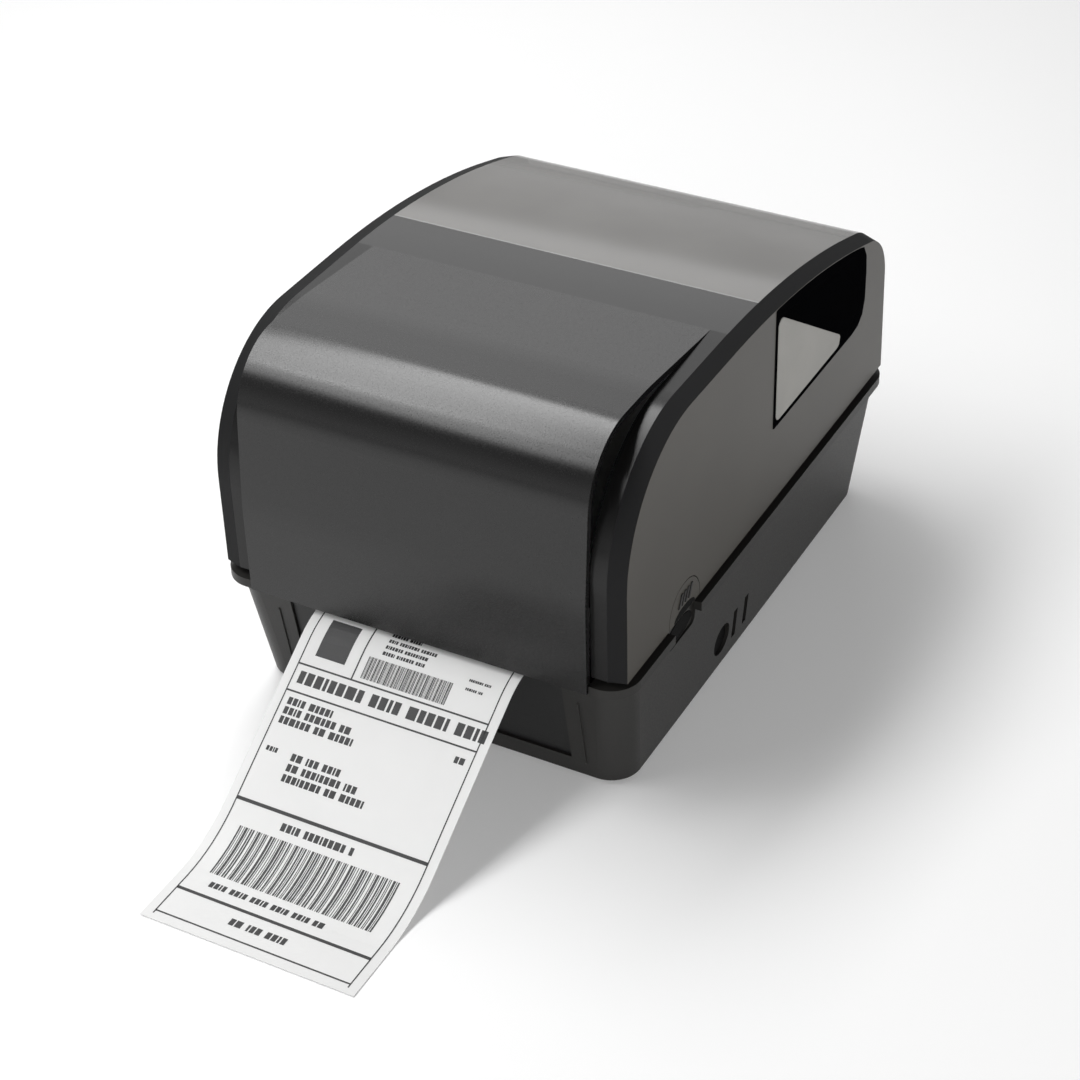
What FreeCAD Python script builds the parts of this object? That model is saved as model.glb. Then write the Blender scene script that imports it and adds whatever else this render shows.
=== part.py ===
import FreeCAD, Part
import math
import os
import re

import Sketcher

# Driving dimensions, in millimetres and degrees. X runs across the printer, -Y is its front, Z is up.
SIZES = {
    # Heights where base and cover meet
    "clearance": 0.3,
    "base_top": 62,
    "lip_height": 4.5,
    "lip_top": "=base_top + lip_height",
    "parting_gap": 3,
    "cover_bottom": "=lip_top + parting_gap",
    # Cover: outer width, the bevel and rim beside its shell, and the side profile
    "cover_width": 200,
    "bevel_width": 8,
    "rim_width": 8,
    "top_width": "=cover_width - 2 * bevel_width",
    "bevel_drop": 2.5,
    "cover_front": 139.5,
    "cover_rear": 145,
    "cover_top": 176.5,
    "front_radius": 62.5,
    "crown_reach": 39,
    "crown_radius": 500,
    "shoulder_setback": 3,
    "shoulder_reach": "=cover_rear - shoulder_setback",
    "shoulder_drop": 30.5,
    "shoulder_height": "=cover_top - shoulder_drop",
    "shoulder_radius": 32,
    "crown_inset": 0.15,
    "shoulder_inset": 0.7,
    "wall": 3,
    "side_wall": 4,
    "joint_line": 25,
    "rear_panel_height": 35.5,
    "rear_panel_top": "=cover_bottom + rear_panel_height",
    "rib_depth": 12,
    "rib_drop": 15,
    "rib_height": 11.4,
    # Front shell, which stands proud of the end panels
    "shell_width": "=top_width - 2 * rim_width",
    "shell_stand": 4,
    "shell_front": "=cover_front + shell_stand",
    "shell_drop": 7,
    "shell_bottom": "=cover_bottom - shell_drop",
    "shell_bend_height": 107,
    "shell_bend_radius": 150,
    "brow_setback": 6,
    "brow_reach": "=shell_front - brow_setback",
    "brow_rise": 5,
    "brow_height": "=cover_top + brow_rise",
    "brow_radius": 33,
    "crest_setback": 58.5,
    "crest_reach": "=shell_front - crest_setback",
    "crest_radius": 150,
    # Side panes
    "pane_front": 8.5,
    "pane_rear_margin": 37,
    "pane_rear": "=cover_rear - pane_rear_margin",
    "pane_rise": 40.5,
    "pane_bottom": "=cover_bottom + pane_rise",
    "pane_heel_run": 16,
    "pane_heel": "=pane_rear - pane_heel_run",
    "pane_heel_rise": 13,
    "pane_front_drop": 8.5,
    "pane_top_front": "=cover_top - pane_front_drop",
    "pane_rear_drop": 26,
    "pane_top_rear": "=cover_top - pane_rear_drop",
    "pane_radius": 5,
    # Base housing
    "foot_height": 2.5,
    "foot_radius": 8,
    "foot_inset": 22,
    "base_setback": 1,
    "base_top_width": "=cover_width - 2 * base_setback",
    "base_taper": 5,
    "base_bottom_width": "=base_top_width - 2 * base_taper",
    "lip_overhang": 2,
    "lip_width": "=cover_width + 2 * lip_overhang",
    "base_front_setback": 1.5,
    "base_top_front": "=cover_front - base_front_setback",
    "base_front_taper": 10.5,
    "base_bottom_front": "=base_top_front - base_front_taper",
    "lip_front_stand": 4.5,
    "lip_front": "=base_top_front + lip_front_stand",
    "base_rear_stand": 1,
    "base_top_rear": "=cover_rear + base_rear_stand",
    "base_rear_taper": 12,
    "base_bottom_rear": "=base_top_rear - base_rear_taper",
    "lip_rear_stand": 2,
    "lip_rear": "=base_top_rear + lip_rear_stand",
    "base_corner": 14,
    "base_wall": 3,
    "floor_thickness": 3,
    "upstand_top": "=cover_bottom - clearance",
    "upstand_wall": 2,
    "upstand_root": 4,
    "shell_drop_room": 2.5,
    # Release buttons in the end panels, and the finger scoops under them
    "button_setback": 57.5,
    "button_place": "=cover_front - button_setback",
    "button_length": 30,
    "button_height": 16,
    "button_radius": 14,
    "button_depth": 3,
    "button_gap": 0.4,
    "latch_arm_width": 12,
    "latch_arm_depth": 5,
    "latch_gap": 0.7,
    "latch_reach": 5,
    "latch_arm_bottom": "=base_top - latch_reach",
    "latch_block_rise": 1.5,
    "latch_block_bottom": "=cover_bottom + latch_block_rise",
    "latch_height": 10.5,
    "latch_arm_top": "=cover_bottom + latch_height",
    "scoop_length": 26,
    "scoop_drop": 7,
    "scoop_bottom": "=base_top - scoop_drop",
    "scoop_depth": 4.5,
    # Recess and vent slots in the right side of the base
    "port_place": 32,
    "port_length": 16,
    "port_bottom": 10,
    "port_height": 16,
    "port_depth": 1.8,
    "vent_gap": 12,
    "vent_width": 4,
    # Hinge at the rear edge
    "hinge_rise": 1.25,
    "hinge_axis_height": "=lip_top + hinge_rise",
    "hinge_place": 57,
    "knuckle_length": 14,
    "knuckle_radius": 4,
    "knuckle_gap": 0.5,
    "bracket_length": 11.5,
    "hinge_pin_radius": 2,
    "hinge_leaf_height": 18.5,
    "hinge_leaf_top": "=cover_bottom + hinge_leaf_height",
    "hinge_leaf_inset": 4,
    "hinge_bridge_drop": 2,
    "hinge_notch_drop": 1,
    "hinge_notch_floor": "=base_top - hinge_notch_drop",
    # Platen roller, its bearings and the plates that hold them
    "platen_setback": 20.5,
    "platen_reach": "=cover_front - platen_setback",
    "platen_radius": 9,
    "slot_height": 2.5,
    "platen_height": "=shell_bottom - slot_height - platen_radius",
    "platen_length": 112,
    "shaft_radius": 3,
    "running_fit": 0.05,
    "bush_radius": 6,
    "bush_stand": 0.5,
    "shaft_stand": 2,
    "plate_place": 64,
    "plate_thickness": 4,
    "plate_lead": 12,
    "plate_front": "=platen_reach + plate_lead",
    "plate_rise": 11,
    "plate_top": "=platen_height + plate_rise",
    "gear_plate_depth": 71,
    "gear_plate_rear": "=platen_reach - gear_plate_depth",
    "bearing_plate_depth": 33,
    "bearing_plate_rear": "=platen_reach - bearing_plate_depth",
    # Recessed front panel and tear bar
    "panel_inset": 16,
    "panel_width": "=shell_width - 2 * panel_inset",
    "panel_bottom": 12,
    "panel_drop": 3,
    "panel_top": "=platen_height + platen_radius - panel_drop",
    "panel_recess": 1.2,
    "panel_thickness": 3.5,
    "tear_bar_width": 112,
    "tear_bar_depth": 5,
    "tear_bar_height": 1.5,
    # Gear train from the motor to the platen
    "gear_module": 1,
    "platen_teeth": 20,
    "idler_teeth": 30,
    "pinion_teeth": 12,
    "gear_width": 8,
    "gear_gap": 2,
    "mesh_slack": 0.25,
    "idler_drop": 14,
    "motor_drop": 4,
    "idler_pin_radius": 2,
    "motor_shaft_radius": 1.5,
    "motor_radius": 18,
    "motor_length": 22,
    # Print head on the cover
    "head_width": 112,
    "head_depth": 18,
    "head_gap": 1,
    "head_height": 3,
    "heat_sink_height": 10,
    "heat_sink_depth": 26,
    "fin_count": 4,
    "fin_depth": 8,
    "fin_gap": 1.2,
    "head_bracket_gap": 4,
    "head_bracket_width": "=shell_width - 2 * head_bracket_gap",
    "head_bracket_height": 3,
    # Label web, from the roll over the platen and out to the front
    "media_width": 104,
    "web_thickness": 0.4,
    "web_turn_gap": 27,
    "web_bend": "=platen_reach - web_turn_gap",
    "web_stand": 0.5,
    "web_exit": "=shell_front + web_stand",
    "web_fall_reach": 94,
    "web_landing": "=web_exit + web_fall_reach",
    "web_tail": 48,
    "web_end": "=web_landing + web_tail",
    "exit_radius": 40,
    "landing_radius": 70,
    # Label roll on its two guides
    "roll_place": 38,
    "roll_radius": 52,
    "roll_lift": 20,
    "roll_height": "=roll_radius + roll_lift",
    "core_radius": 12.7,
    "core_wall": 2,
    "guide_gap": 0.6,
    "guide_thickness": 4,
    "guide_foot": 60,
    "guide_shoulder_drop": 32,
    "guide_shoulder": "=roll_height - guide_shoulder_drop",
    "guide_neck": 28,
    "guide_rise": 26,
    "guide_top": "=roll_height + guide_rise",
    "guide_round": 11,
    "boss_gap": 0.9,
    "boss_radius": "=core_radius - boss_gap",
    "boss_length": 10,
    # Rack and pinion that centre the guides
    "guide_teeth": 24,
    "rack_height": 5.5,
    "rack_back": 5,
    "rack_reach": 24,
    "rail_width": 14,
    "rail_height": 3.5,
    "rail_end_gap": 6,
    "rail_length": "=base_bottom_width - 2 * base_wall - 2 * rail_end_gap",
    "post_radius": 3,
    # Sensor bar and guide rod under the web
    "sensor_gap": 12,
    "sensor_bar_reach": "=web_bend + sensor_gap",
    "sensor_bar_depth": 8,
    "sensor_bar_height": 3,
    "sensor_size": 10,
    "rod_radius": 3,
    # Circuit board and rear connectors
    "board_side_gap": 24,
    "board_width": "=base_bottom_width - 2 * board_side_gap",
    "board_setback": 38,
    "board_front": "=base_bottom_rear - board_setback",
    "board_depth": 28,
    "board_thickness": 1.6,
    "standoff_height": 6.5,
    "standoff_radius": 3,
    "standoff_inset": 6,
    "port_gap": 0.3,
    "port_overlap": 12,
    "port_back": 9,
    "jack_place": 47,
    "jack_width": 14,
    "jack_height": 11,
    "jack_bore": 3.2,
    "usb_place": 15,
    "usb_width": 12,
    "usb_height": 11,
    "usb_wall": 1,
    "switch_place": -39,
    "switch_width": 20,
    "switch_height": 13,
    "switch_wall": 1.2,
    "switch_depth": 10,
    "rocker_height": 8.4,
    "rocker_dip": 0.9,
    "rocker_stand": 1.2,
    "rocker_gap": 0.5,
    "pivot_radius": 1.2,
    "pivot_inset": 2.8,
    # Screws through the floor
    "screw_radius": 3,
    "screw_front_inset": 42,
    "screw_rear_inset": 28,
    "screw_head_radius": 5,
    "screw_head_height": 2.5,
}

# The flank angle of every gear tooth, and the tooth's height in modules above and below its pitch line
PRESSURE_ANGLE = math.radians(20)
ADDENDUM = 0.85
DEDENDUM = 1.25
FLANK_STEPS = 2

doc = FreeCAD.newDocument("LabelPrinter")
sheet = doc.addObject("Spreadsheet::Sheet", "Sizes")
for row, (name, size) in enumerate(SIZES.items(), start=1):
    sheet.set(f"A{row}", name)
    sheet.set(f"B{row}", str(size))
    sheet.setAlias(f"B{row}", name)
doc.recompute()

# Places that several pieces share, worked out from the sizes above
FLOOR = "(foot_height + floor_thickness)"
BOARD_TOP = "(foot_height + floor_thickness + standoff_height + board_thickness)"
HINGE_ROOM = "(knuckle_length / 2 + knuckle_gap + bracket_length + knuckle_gap)"
WEB_HEIGHT = "(platen_height + platen_radius + clearance)"
GEAR_START = "(-plate_place - plate_thickness - gear_gap - gear_width)"
CONNECTOR_FRONT = "(board_front + board_depth - port_overlap)"
CONNECTOR_REAR = "(base_bottom_rear + base_wall + clearance)"
SCREW_SIDE = "((plate_place + plate_thickness + base_bottom_width / 2 - base_wall) / 2)"
SCREW_FRONT = "(-base_bottom_front + screw_front_inset)"
SCREW_REAR = "(base_bottom_rear - screw_rear_inset)"

sub_parts = []


def formula(text):
    """Write the names of sizes in a text as references to the sheet."""
    def refer(word):
        return f"Sizes.{word.group()}" if word.group() in SIZES else word.group()
    return re.sub(r"[a-z][a-z_0-9]*", refer, str(text))


def number(text):
    """The value of a formula now."""
    return float(sheet.evalExpression(formula(text)))


def sub_part(label, item):
    """Name an object as one sub-part of the printer."""
    item.Label = label
    sub_parts.append(item)
    return item


def at(item, x, y, z):
    """Bind an object's place to the sheet."""
    for axis, text in zip("xyz", (x, y, z)):
        item.setExpression(f"Placement.Base.{axis}", formula(text))
    return item


def box(x, y, z, length, width, height):
    item = doc.addObject("Part::Box", "block")
    for size, text in (("Length", length), ("Width", width), ("Height", height)):
        item.setExpression(size, formula(text))
    return at(item, x, y, z)


def rod(axis, x, y, z, radius, length):
    """A cylinder along X or Z from a start point."""
    item = doc.addObject("Part::Cylinder", "rod")
    if axis == "X":
        item.Placement.Rotation = FreeCAD.Rotation(FreeCAD.Vector(0, 1, 0), 90)
    item.setExpression("Radius", formula(radius))
    item.setExpression("Height", formula(length))
    return at(item, x, y, z)


def hexagon(x, y, z, radius, length):
    """A six-sided post along Z."""
    item = doc.addObject("Part::Prism", "post")
    item.Polygon = 6
    item.setExpression("Circumradius", formula(radius))
    item.setExpression("Height", formula(length))
    return at(item, x, y, z)


def cut(base, *tools):
    item = doc.addObject("Part::Cut", "cut")
    item.Base = base
    item.Tool = tools[0] if len(tools) == 1 else fuse(*tools)
    return item


def fuse(*shapes):
    item = doc.addObject("Part::MultiFuse", "join")
    item.Shapes = list(shapes)
    return item


def group(*items):
    item = doc.addObject("Part::Compound", "group")
    item.Links = list(items)
    return item


def mirrored(item):
    """The same piece on the printer's other side."""
    copy = doc.addObject("Part::Mirroring", "other_side")
    copy.Source = item
    copy.Normal = FreeCAD.Vector(1, 0, 0)
    return copy


def bind(sketch, kind, *where_and_text):
    """Add one dimension to a sketch and bind it to the sheet."""
    *where, text = where_and_text
    index = sketch.addConstraint(Sketcher.Constraint(kind, *where, number(text)))
    sketch.setExpression(f"Constraints[{index}]", formula(text))


def draw(sketch, corners):
    """Draw a closed outline: each corner is (across, up), with a radius after them where it is round."""
    points = [FreeCAD.Vector(number(corner[0]), number(corner[1])) for corner in corners]
    radii = [number(corner[2]) if len(corner) > 2 else 0 for corner in corners]
    count = len(points)
    starts, ends, turns = [], [], []
    for i, point in enumerate(points):
        before = (point - points[i - 1]).normalize()
        after = (points[(i + 1) % count] - point).normalize()
        turn = math.atan2(before.cross(after).z, before.dot(after))
        trim = radii[i] * math.tan(abs(turn) / 2)
        starts.append(point - before * trim)
        ends.append(point + after * trim)
        turns.append(turn)
    sides = [Part.LineSegment(ends[i], starts[(i + 1) % count]) for i in range(count)]
    lines = [sketch.addGeometry(side, False) for side in sides]
    for i, corner in enumerate(corners):
        line_in, line_out = lines[i - 1], lines[i]
        if not radii[i]:
            sketch.addConstraint(Sketcher.Constraint("Coincident", line_in, 2, line_out, 1))
            mark, place = line_out, 1
        else:
            before = (points[i] - points[i - 1]).normalize()
            centre = starts[i] + FreeCAD.Vector(-before.y, before.x) * math.copysign(radii[i], turns[i])
            first, last = (starts[i], ends[i]) if turns[i] > 0 else (ends[i], starts[i])
            angles = [math.atan2(end.y - centre.y, end.x - centre.x) for end in (first, last)]
            circle = Part.Circle(centre, FreeCAD.Vector(0, 0, 1), radii[i])
            arc = sketch.addGeometry(Part.ArcOfCircle(circle, angles[0], angles[1]), False)
            arc_in, arc_out = (1, 2) if turns[i] > 0 else (2, 1)
            sketch.addConstraint(Sketcher.Constraint("Tangent", line_in, 2, arc, arc_in))
            sketch.addConstraint(Sketcher.Constraint("Tangent", line_out, 1, arc, arc_out))
            mark, place = sketch.addGeometry(Part.Point(points[i]), True), 1
            for line in (line_in, line_out):
                sketch.addConstraint(Sketcher.Constraint("PointOnObject", mark, 1, line))
            bind(sketch, "Radius", arc, corner[2])
        bind(sketch, "DistanceX", -1, 1, mark, place, corner[0])
        bind(sketch, "DistanceY", -1, 1, mark, place, corner[1])


def draw_circle(sketch, across, up, radius):
    circle = Part.Circle(FreeCAD.Vector(number(across), number(up)), FreeCAD.Vector(0, 0, 1), number(radius))
    ring = sketch.addGeometry(circle, False)
    bind(sketch, "Radius", ring, radius)
    bind(sketch, "DistanceX", -1, 1, ring, 3, across)
    bind(sketch, "DistanceY", -1, 1, ring, 3, up)


def new_body():
    return doc.addObject("PartDesign::Body", "body")


def sketch_on(body, plane, level, outline):
    """A sketch on one of the body's planes, at a level along that plane's normal."""
    sketch = body.newObject("Sketcher::SketchObject", "outline")
    origin_plane = next(item for item in body.Origin.OriginFeatures if item.Role == f"{plane}_Plane")
    sketch.AttachmentSupport = [(origin_plane, "")]
    sketch.MapMode = "FlatFace"
    sketch.setExpression("AttachmentOffset.Base.z", formula(level))
    if outline[0] == "circle":
        draw_circle(sketch, *outline[1:])
    else:
        draw(sketch, outline)
    return sketch


def prism(body, kind, plane, outline, start, end):
    """A pad or a pocket between two levels; the XZ plane's normal points to the front."""
    level = f"-({end})" if plane == "XZ" else start
    feature = body.newObject(f"PartDesign::{kind}", kind.lower())
    feature.Profile = sketch_on(body, plane, level, outline)
    feature.setExpression("Length", formula(f"({end}) - ({start})"))
    if kind == "Pocket":
        feature.Reversed = True
    body.Tip = feature
    return feature


def pad(body, plane, outline, start, end):
    return prism(body, "Pad", plane, outline, start, end)


def pocket(body, plane, outline, start, end):
    return prism(body, "Pocket", plane, outline, start, end)


def loft(body, kind, plane, sections):
    """A straight loft through outlines at their levels."""
    sketches = [sketch_on(body, plane, level, outline) for level, outline in sections]
    feature = body.newObject(f"PartDesign::{kind}Loft", "loft")
    feature.Profile = sketches[0]
    feature.Sections = sketches[1:]
    feature.Ruled = True
    body.Tip = feature
    return feature


def rectangle(x_low, x_high, y_low, y_high, radius=None):
    corners = [(x_low, y_low), (x_high, y_low), (x_high, y_high), (x_low, y_high)]
    return [corner + (radius,) for corner in corners] if radius else corners


def cover_profile(inset, bottom):
    """The cover's side profile, moved inward by an inset."""
    return [
        (f"-cover_front + {inset}", bottom),
        (f"-cover_front + {inset}", f"cover_top - {inset}", f"front_radius - {inset}"),
        (f"crown_reach - crown_inset * {inset}", f"cover_top - {inset}", f"crown_radius - {inset}"),
        (f"shoulder_reach - {inset}", f"shoulder_height - shoulder_inset * {inset}",
         f"shoulder_radius - {inset}"),
        (f"cover_rear - {inset}", bottom),
    ]


def shell_profile():
    """The front shell's wall: its outer face from the bottom up and back, then its inner face."""
    return [
        ("-shell_front", "shell_bottom"),
        ("-shell_front + wall", "shell_bottom"),
        ("-shell_front + wall", "shell_bend_height", "shell_bend_radius - wall"),
        ("-brow_reach + wall", "brow_height - wall", "brow_radius - wall"),
        ("-crest_reach", "brow_height - wall", "crest_radius - wall"),
        ("-joint_line", "cover_top - wall"),
        ("-joint_line", "cover_top"),
        ("-crest_reach", "brow_height", "crest_radius"),
        ("-brow_reach", "brow_height", "brow_radius"),
        ("-shell_front", "shell_bend_height", "shell_bend_radius"),
    ]


def pane_outline():
    return [
        ("pane_front", "pane_bottom", "pane_radius"),
        ("pane_heel", "pane_bottom", "pane_radius"),
        ("pane_rear", "pane_bottom + pane_heel_rise", "pane_radius"),
        ("pane_rear", "pane_top_rear", "pane_radius"),
        ("pane_front", "pane_top_front", "pane_radius"),
    ]


def button_outline(grow):
    """A half-moon on the cover's bottom edge."""
    return [
        (f"-button_place - button_length / 2 - {grow}", f"cover_bottom - {grow}"),
        (f"-button_place + button_length / 2 + {grow}", f"cover_bottom - {grow}"),
        (f"-button_place + button_length / 2 + {grow}", f"cover_bottom + button_height + {grow}",
         f"button_radius + {grow}"),
        (f"-button_place - button_length / 2 - {grow}", f"cover_bottom + button_height + {grow}",
         f"button_radius + {grow}"),
    ]


def make_front_shell():
    body = new_body()
    pad(body, "YZ", shell_profile(), "-shell_width / 2", "shell_width / 2")
    sub_part("front_shell", body)


def make_end_panels():
    """An end panel: a rim, a bevel and a side wall with openings for the pane and the release button."""
    body = new_body()
    low = "cover_bottom"
    pad(body, "YZ", cover_profile("0", low), "shell_width / 2", "top_width / 2")
    loft(body, "Additive", "YZ", [
        ("top_width / 2", cover_profile("0", low)),
        ("cover_width / 2", cover_profile("bevel_drop", low)),
    ])
    inside = cover_profile("wall", "cover_bottom - wall")
    pocket(body, "YZ", inside, "shell_width / 2 - wall", "cover_width / 2 - side_wall")
    behind_joint = rectangle("-joint_line", "cover_rear + wall", "cover_bottom - wall", "brow_height")
    pocket(body, "YZ", behind_joint, "shell_width / 2 - wall", "top_width / 2")
    pocket(body, "YZ", pane_outline(), "top_width / 2", "cover_width / 2 + wall")
    pocket(body, "YZ", button_outline("button_gap"), "top_width / 2", "cover_width / 2 + wall")
    sub_part("right_end_panel", body)
    sub_part("left_end_panel", mirrored(body))


def make_side_panes():
    body = new_body()
    pad(body, "YZ", pane_outline(), "cover_width / 2 - side_wall", "cover_width / 2")
    sub_part("right_side_pane", body)
    sub_part("left_side_pane", mirrored(body))


def make_top_window():
    """The smoked window, which bends over the rear shoulder."""
    body = new_body()
    side = "top_width / 2"
    pad(body, "YZ", cover_profile("0", "cover_bottom"), f"-{side}", side)
    pocket(body, "YZ", cover_profile("wall", "cover_bottom - wall"), f"-{side} - wall", f"{side} + wall")
    before_joint = rectangle("-cover_front - wall", "-joint_line", "cover_bottom - wall", "brow_height")
    pocket(body, "YZ", before_joint, f"-{side} - wall", f"{side} + wall")
    below = rectangle("-joint_line - wall", "cover_rear + wall", "cover_bottom - wall", "rear_panel_top")
    pocket(body, "YZ", below, f"-{side} - wall", f"{side} + wall")
    sub_part("top_window", body)


def make_rear_panel():
    """The opaque rear wall under the window, notched for the hinges."""
    body = new_body()
    side = "top_width / 2"
    pad(body, "YZ", cover_profile("0", "cover_bottom"), f"-{side}", side)
    pocket(body, "YZ", cover_profile("wall", "cover_bottom - wall"), f"-{side} - wall", f"{side} + wall")
    above = rectangle("-cover_front - wall", "cover_rear + wall", "rear_panel_top", "brow_height")
    pocket(body, "YZ", above, f"-{side} - wall", f"{side} + wall")
    ahead = rectangle("-cover_front - wall", "shoulder_reach - shoulder_radius",
                      "cover_bottom - wall", "brow_height")
    pocket(body, "YZ", ahead, f"-{side} - wall", f"{side} + wall")
    for sign in ("", "-"):
        notch = rectangle(f"{sign}hinge_place - {HINGE_ROOM}", f"{sign}hinge_place + {HINGE_ROOM}",
                          "cover_bottom - wall", "hinge_axis_height + knuckle_radius + knuckle_gap")
        pocket(body, "XZ", notch, "cover_rear - 3 * wall", "cover_rear + wall")
    sub_part("rear_panel", body)


def make_cover_rib():
    """The cross rib under the line where shell and window meet."""
    item = box("-shell_width / 2", "-joint_line - rib_depth / 2", "cover_top - rib_drop",
               "shell_width", "rib_depth", "rib_height")
    sub_part("cover_rib", item)


def base_outline(width, front, rear):
    return rectangle(f"-({width}) / 2", f"({width}) / 2", f"-({front})", rear, "base_corner")


def add_upstand(body):
    """The thin wall inside the cover's edge, which keeps light and dust out of the gap."""
    side = "base_top_width - 2 * base_wall - 2 * clearance"
    front = "base_top_front - base_wall - clearance"
    rear = "cover_rear - wall - clearance"
    root = base_outline("base_top_width - base_wall",
                        "base_top_front - base_wall / 2", "base_top_rear - base_wall / 2")
    pad(body, "XY", root, "base_top - upstand_root", "lip_top")
    pad(body, "XY", base_outline(side, front, rear), "lip_top", "upstand_top")
    inner_side = f"{side} - 2 * upstand_wall"
    inside = base_outline(inner_side, f"{front} - upstand_wall", f"{rear} - upstand_wall")
    pocket(body, "XY", inside, "base_top - upstand_root", "upstand_top + wall")


def make_base_housing():
    """The tapered tray with its lip, front opening, finger scoops, hinge notches and connector holes."""
    body = new_body()
    loft(body, "Additive", "XY", [
        ("foot_height", base_outline("base_bottom_width", "base_bottom_front", "base_bottom_rear")),
        ("base_top", base_outline("base_top_width", "base_top_front", "base_top_rear")),
    ])
    pad(body, "XY", base_outline("lip_width", "lip_front", "lip_rear"), "base_top", "lip_top")
    loft(body, "Subtractive", "XY", [
        (FLOOR, base_outline("base_bottom_width - 2 * base_wall",
                             "base_bottom_front - base_wall", "base_bottom_rear - base_wall")),
        ("lip_top", base_outline("base_top_width - 2 * base_wall",
                                 "base_top_front - base_wall", "base_top_rear - base_wall")),
    ])
    add_upstand(body)
    opening = rectangle("-panel_width / 2 - clearance", "panel_width / 2 + clearance",
                        "panel_bottom - clearance", "upstand_top + wall")
    pocket(body, "XZ", opening, "-lip_front - wall", "-base_bottom_front + 2 * base_wall")
    shell_room = rectangle("-shell_width / 2 - clearance", "shell_width / 2 + clearance",
                           "shell_bottom - shell_drop_room", "upstand_top + wall")
    pocket(body, "XZ", shell_room, "-lip_front - wall", "-base_bottom_front")
    scoop = rectangle("-button_place - scoop_length / 2", "-button_place + scoop_length / 2",
                      "scoop_bottom", "lip_top + base_wall", "base_wall")
    pocket(body, "YZ", scoop, "lip_width / 2 - scoop_depth", "lip_width / 2 + wall")
    pocket(body, "YZ", scoop, "-lip_width / 2 - wall", "-lip_width / 2 + scoop_depth")
    side = "base_bottom_width / 2"
    port = rectangle("-port_place - port_length / 2", "-port_place + port_length / 2",
                     "port_bottom", "port_bottom + port_height", "port_height / 2 - clearance")
    pocket(body, "YZ", port, f"{side} - port_depth / 2", f"{side} + 3 * wall")
    for step in (1, 2):
        vent_place = f"-port_place + port_length / 2 - vent_gap / 2 + {step} * vent_gap"
        vent = rectangle(f"{vent_place} - vent_width / 2", f"{vent_place} + vent_width / 2",
                         "port_bottom", "port_bottom + port_height")
        pocket(body, "YZ", vent, f"{side} - port_depth / 2", f"{side} + 3 * wall")
    for sign in ("", "-"):
        notch = rectangle(f"{sign}hinge_place - {HINGE_ROOM}", f"{sign}hinge_place + {HINGE_ROOM}",
                          "hinge_notch_floor", "upstand_top + wall")
        pocket(body, "XZ", notch, "base_top_rear - 3 * base_wall", "lip_rear + wall")
    for label in ("jack", "usb", "switch"):
        half = f"({label}_width / 2 + port_gap)"
        hole = rectangle(f"{label}_place - {half}", f"{label}_place + {half}",
                         f"{BOARD_TOP} - port_gap", f"{BOARD_TOP} + {label}_height + port_gap")
        pocket(body, "XZ", hole, "base_bottom_rear - 2 * base_wall", "lip_rear + wall")
    for x_sign in ("", "-"):
        for y_place in (SCREW_FRONT, SCREW_REAR):
            hole = ("circle", f"{x_sign}{SCREW_SIDE}", y_place, "screw_radius + running_fit")
            pocket(body, "XY", hole, "foot_height - wall", FLOOR)
    sub_part("base_housing", body)


def make_front_panel():
    """The leaning plate in the front opening, set back from the base's face, and the tear bar on its top."""
    lean = "(base_top_front - base_bottom_front) / (base_top - foot_height)"

    def face(height, depth):
        return f"-base_bottom_front - {lean} * ({height} - foot_height) + panel_recess + {depth}"

    body = new_body()
    plate = [
        (face("panel_bottom", "0"), "panel_bottom"),
        (face("panel_bottom", "panel_thickness"), "panel_bottom"),
        (face("panel_top", "panel_thickness"), "panel_top"),
        (face("panel_top", "0"), "panel_top"),
    ]
    pad(body, "YZ", plate, "-panel_width / 2", "panel_width / 2")
    sub_part("front_panel", body)
    bar = box("-tear_bar_width / 2", face("panel_top", "0"), "panel_top",
              "tear_bar_width", "tear_bar_depth", "tear_bar_height")
    sub_part("tear_bar", bar)


def make_feet_and_screws():
    feet, screws = [], []
    for sign in ("", "-"):
        for place in ("-base_bottom_front + foot_inset", "base_bottom_rear - foot_inset"):
            x = f"{sign}(base_bottom_width / 2 - foot_inset)"
            feet.append(rod("Z", x, place, "0", "foot_radius", "foot_height"))
        for place in (SCREW_FRONT, SCREW_REAR):
            x = f"{sign}{SCREW_SIDE}"
            shank = rod("Z", x, place, "foot_height + clearance", "screw_radius",
                        "floor_thickness - clearance")
            head = hexagon(x, place, FLOOR, "screw_head_radius", "screw_head_height")
            screws.append(fuse(shank, head))
    sub_part("rubber_feet", group(*feet))
    sub_part("floor_screws", group(*screws))


def make_release_buttons():
    """A half-moon button and the latch arm behind it, which reaches down inside the base."""
    body = new_body()
    pad(body, "YZ", button_outline("0"), "cover_width / 2 - button_depth", "cover_width / 2")
    left, right = "-button_place - latch_arm_width / 2", "-button_place + latch_arm_width / 2"
    arm_side = "(base_top_width / 2 - base_wall - clearance - upstand_wall - latch_gap)"
    block = rectangle(left, right, "latch_block_bottom", "latch_arm_top")
    pad(body, "YZ", block, f"{arm_side} - latch_arm_depth", "cover_width / 2 - button_depth")
    arm = rectangle(left, right, "latch_arm_bottom", "latch_arm_top")
    pad(body, "YZ", arm, f"{arm_side} - latch_arm_depth", arm_side)
    sub_part("right_release_button", body)
    sub_part("left_release_button", mirrored(body))


def hinge_rod(x, radius, length):
    return rod("X", x, "cover_rear", "hinge_axis_height", radius, length)


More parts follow.
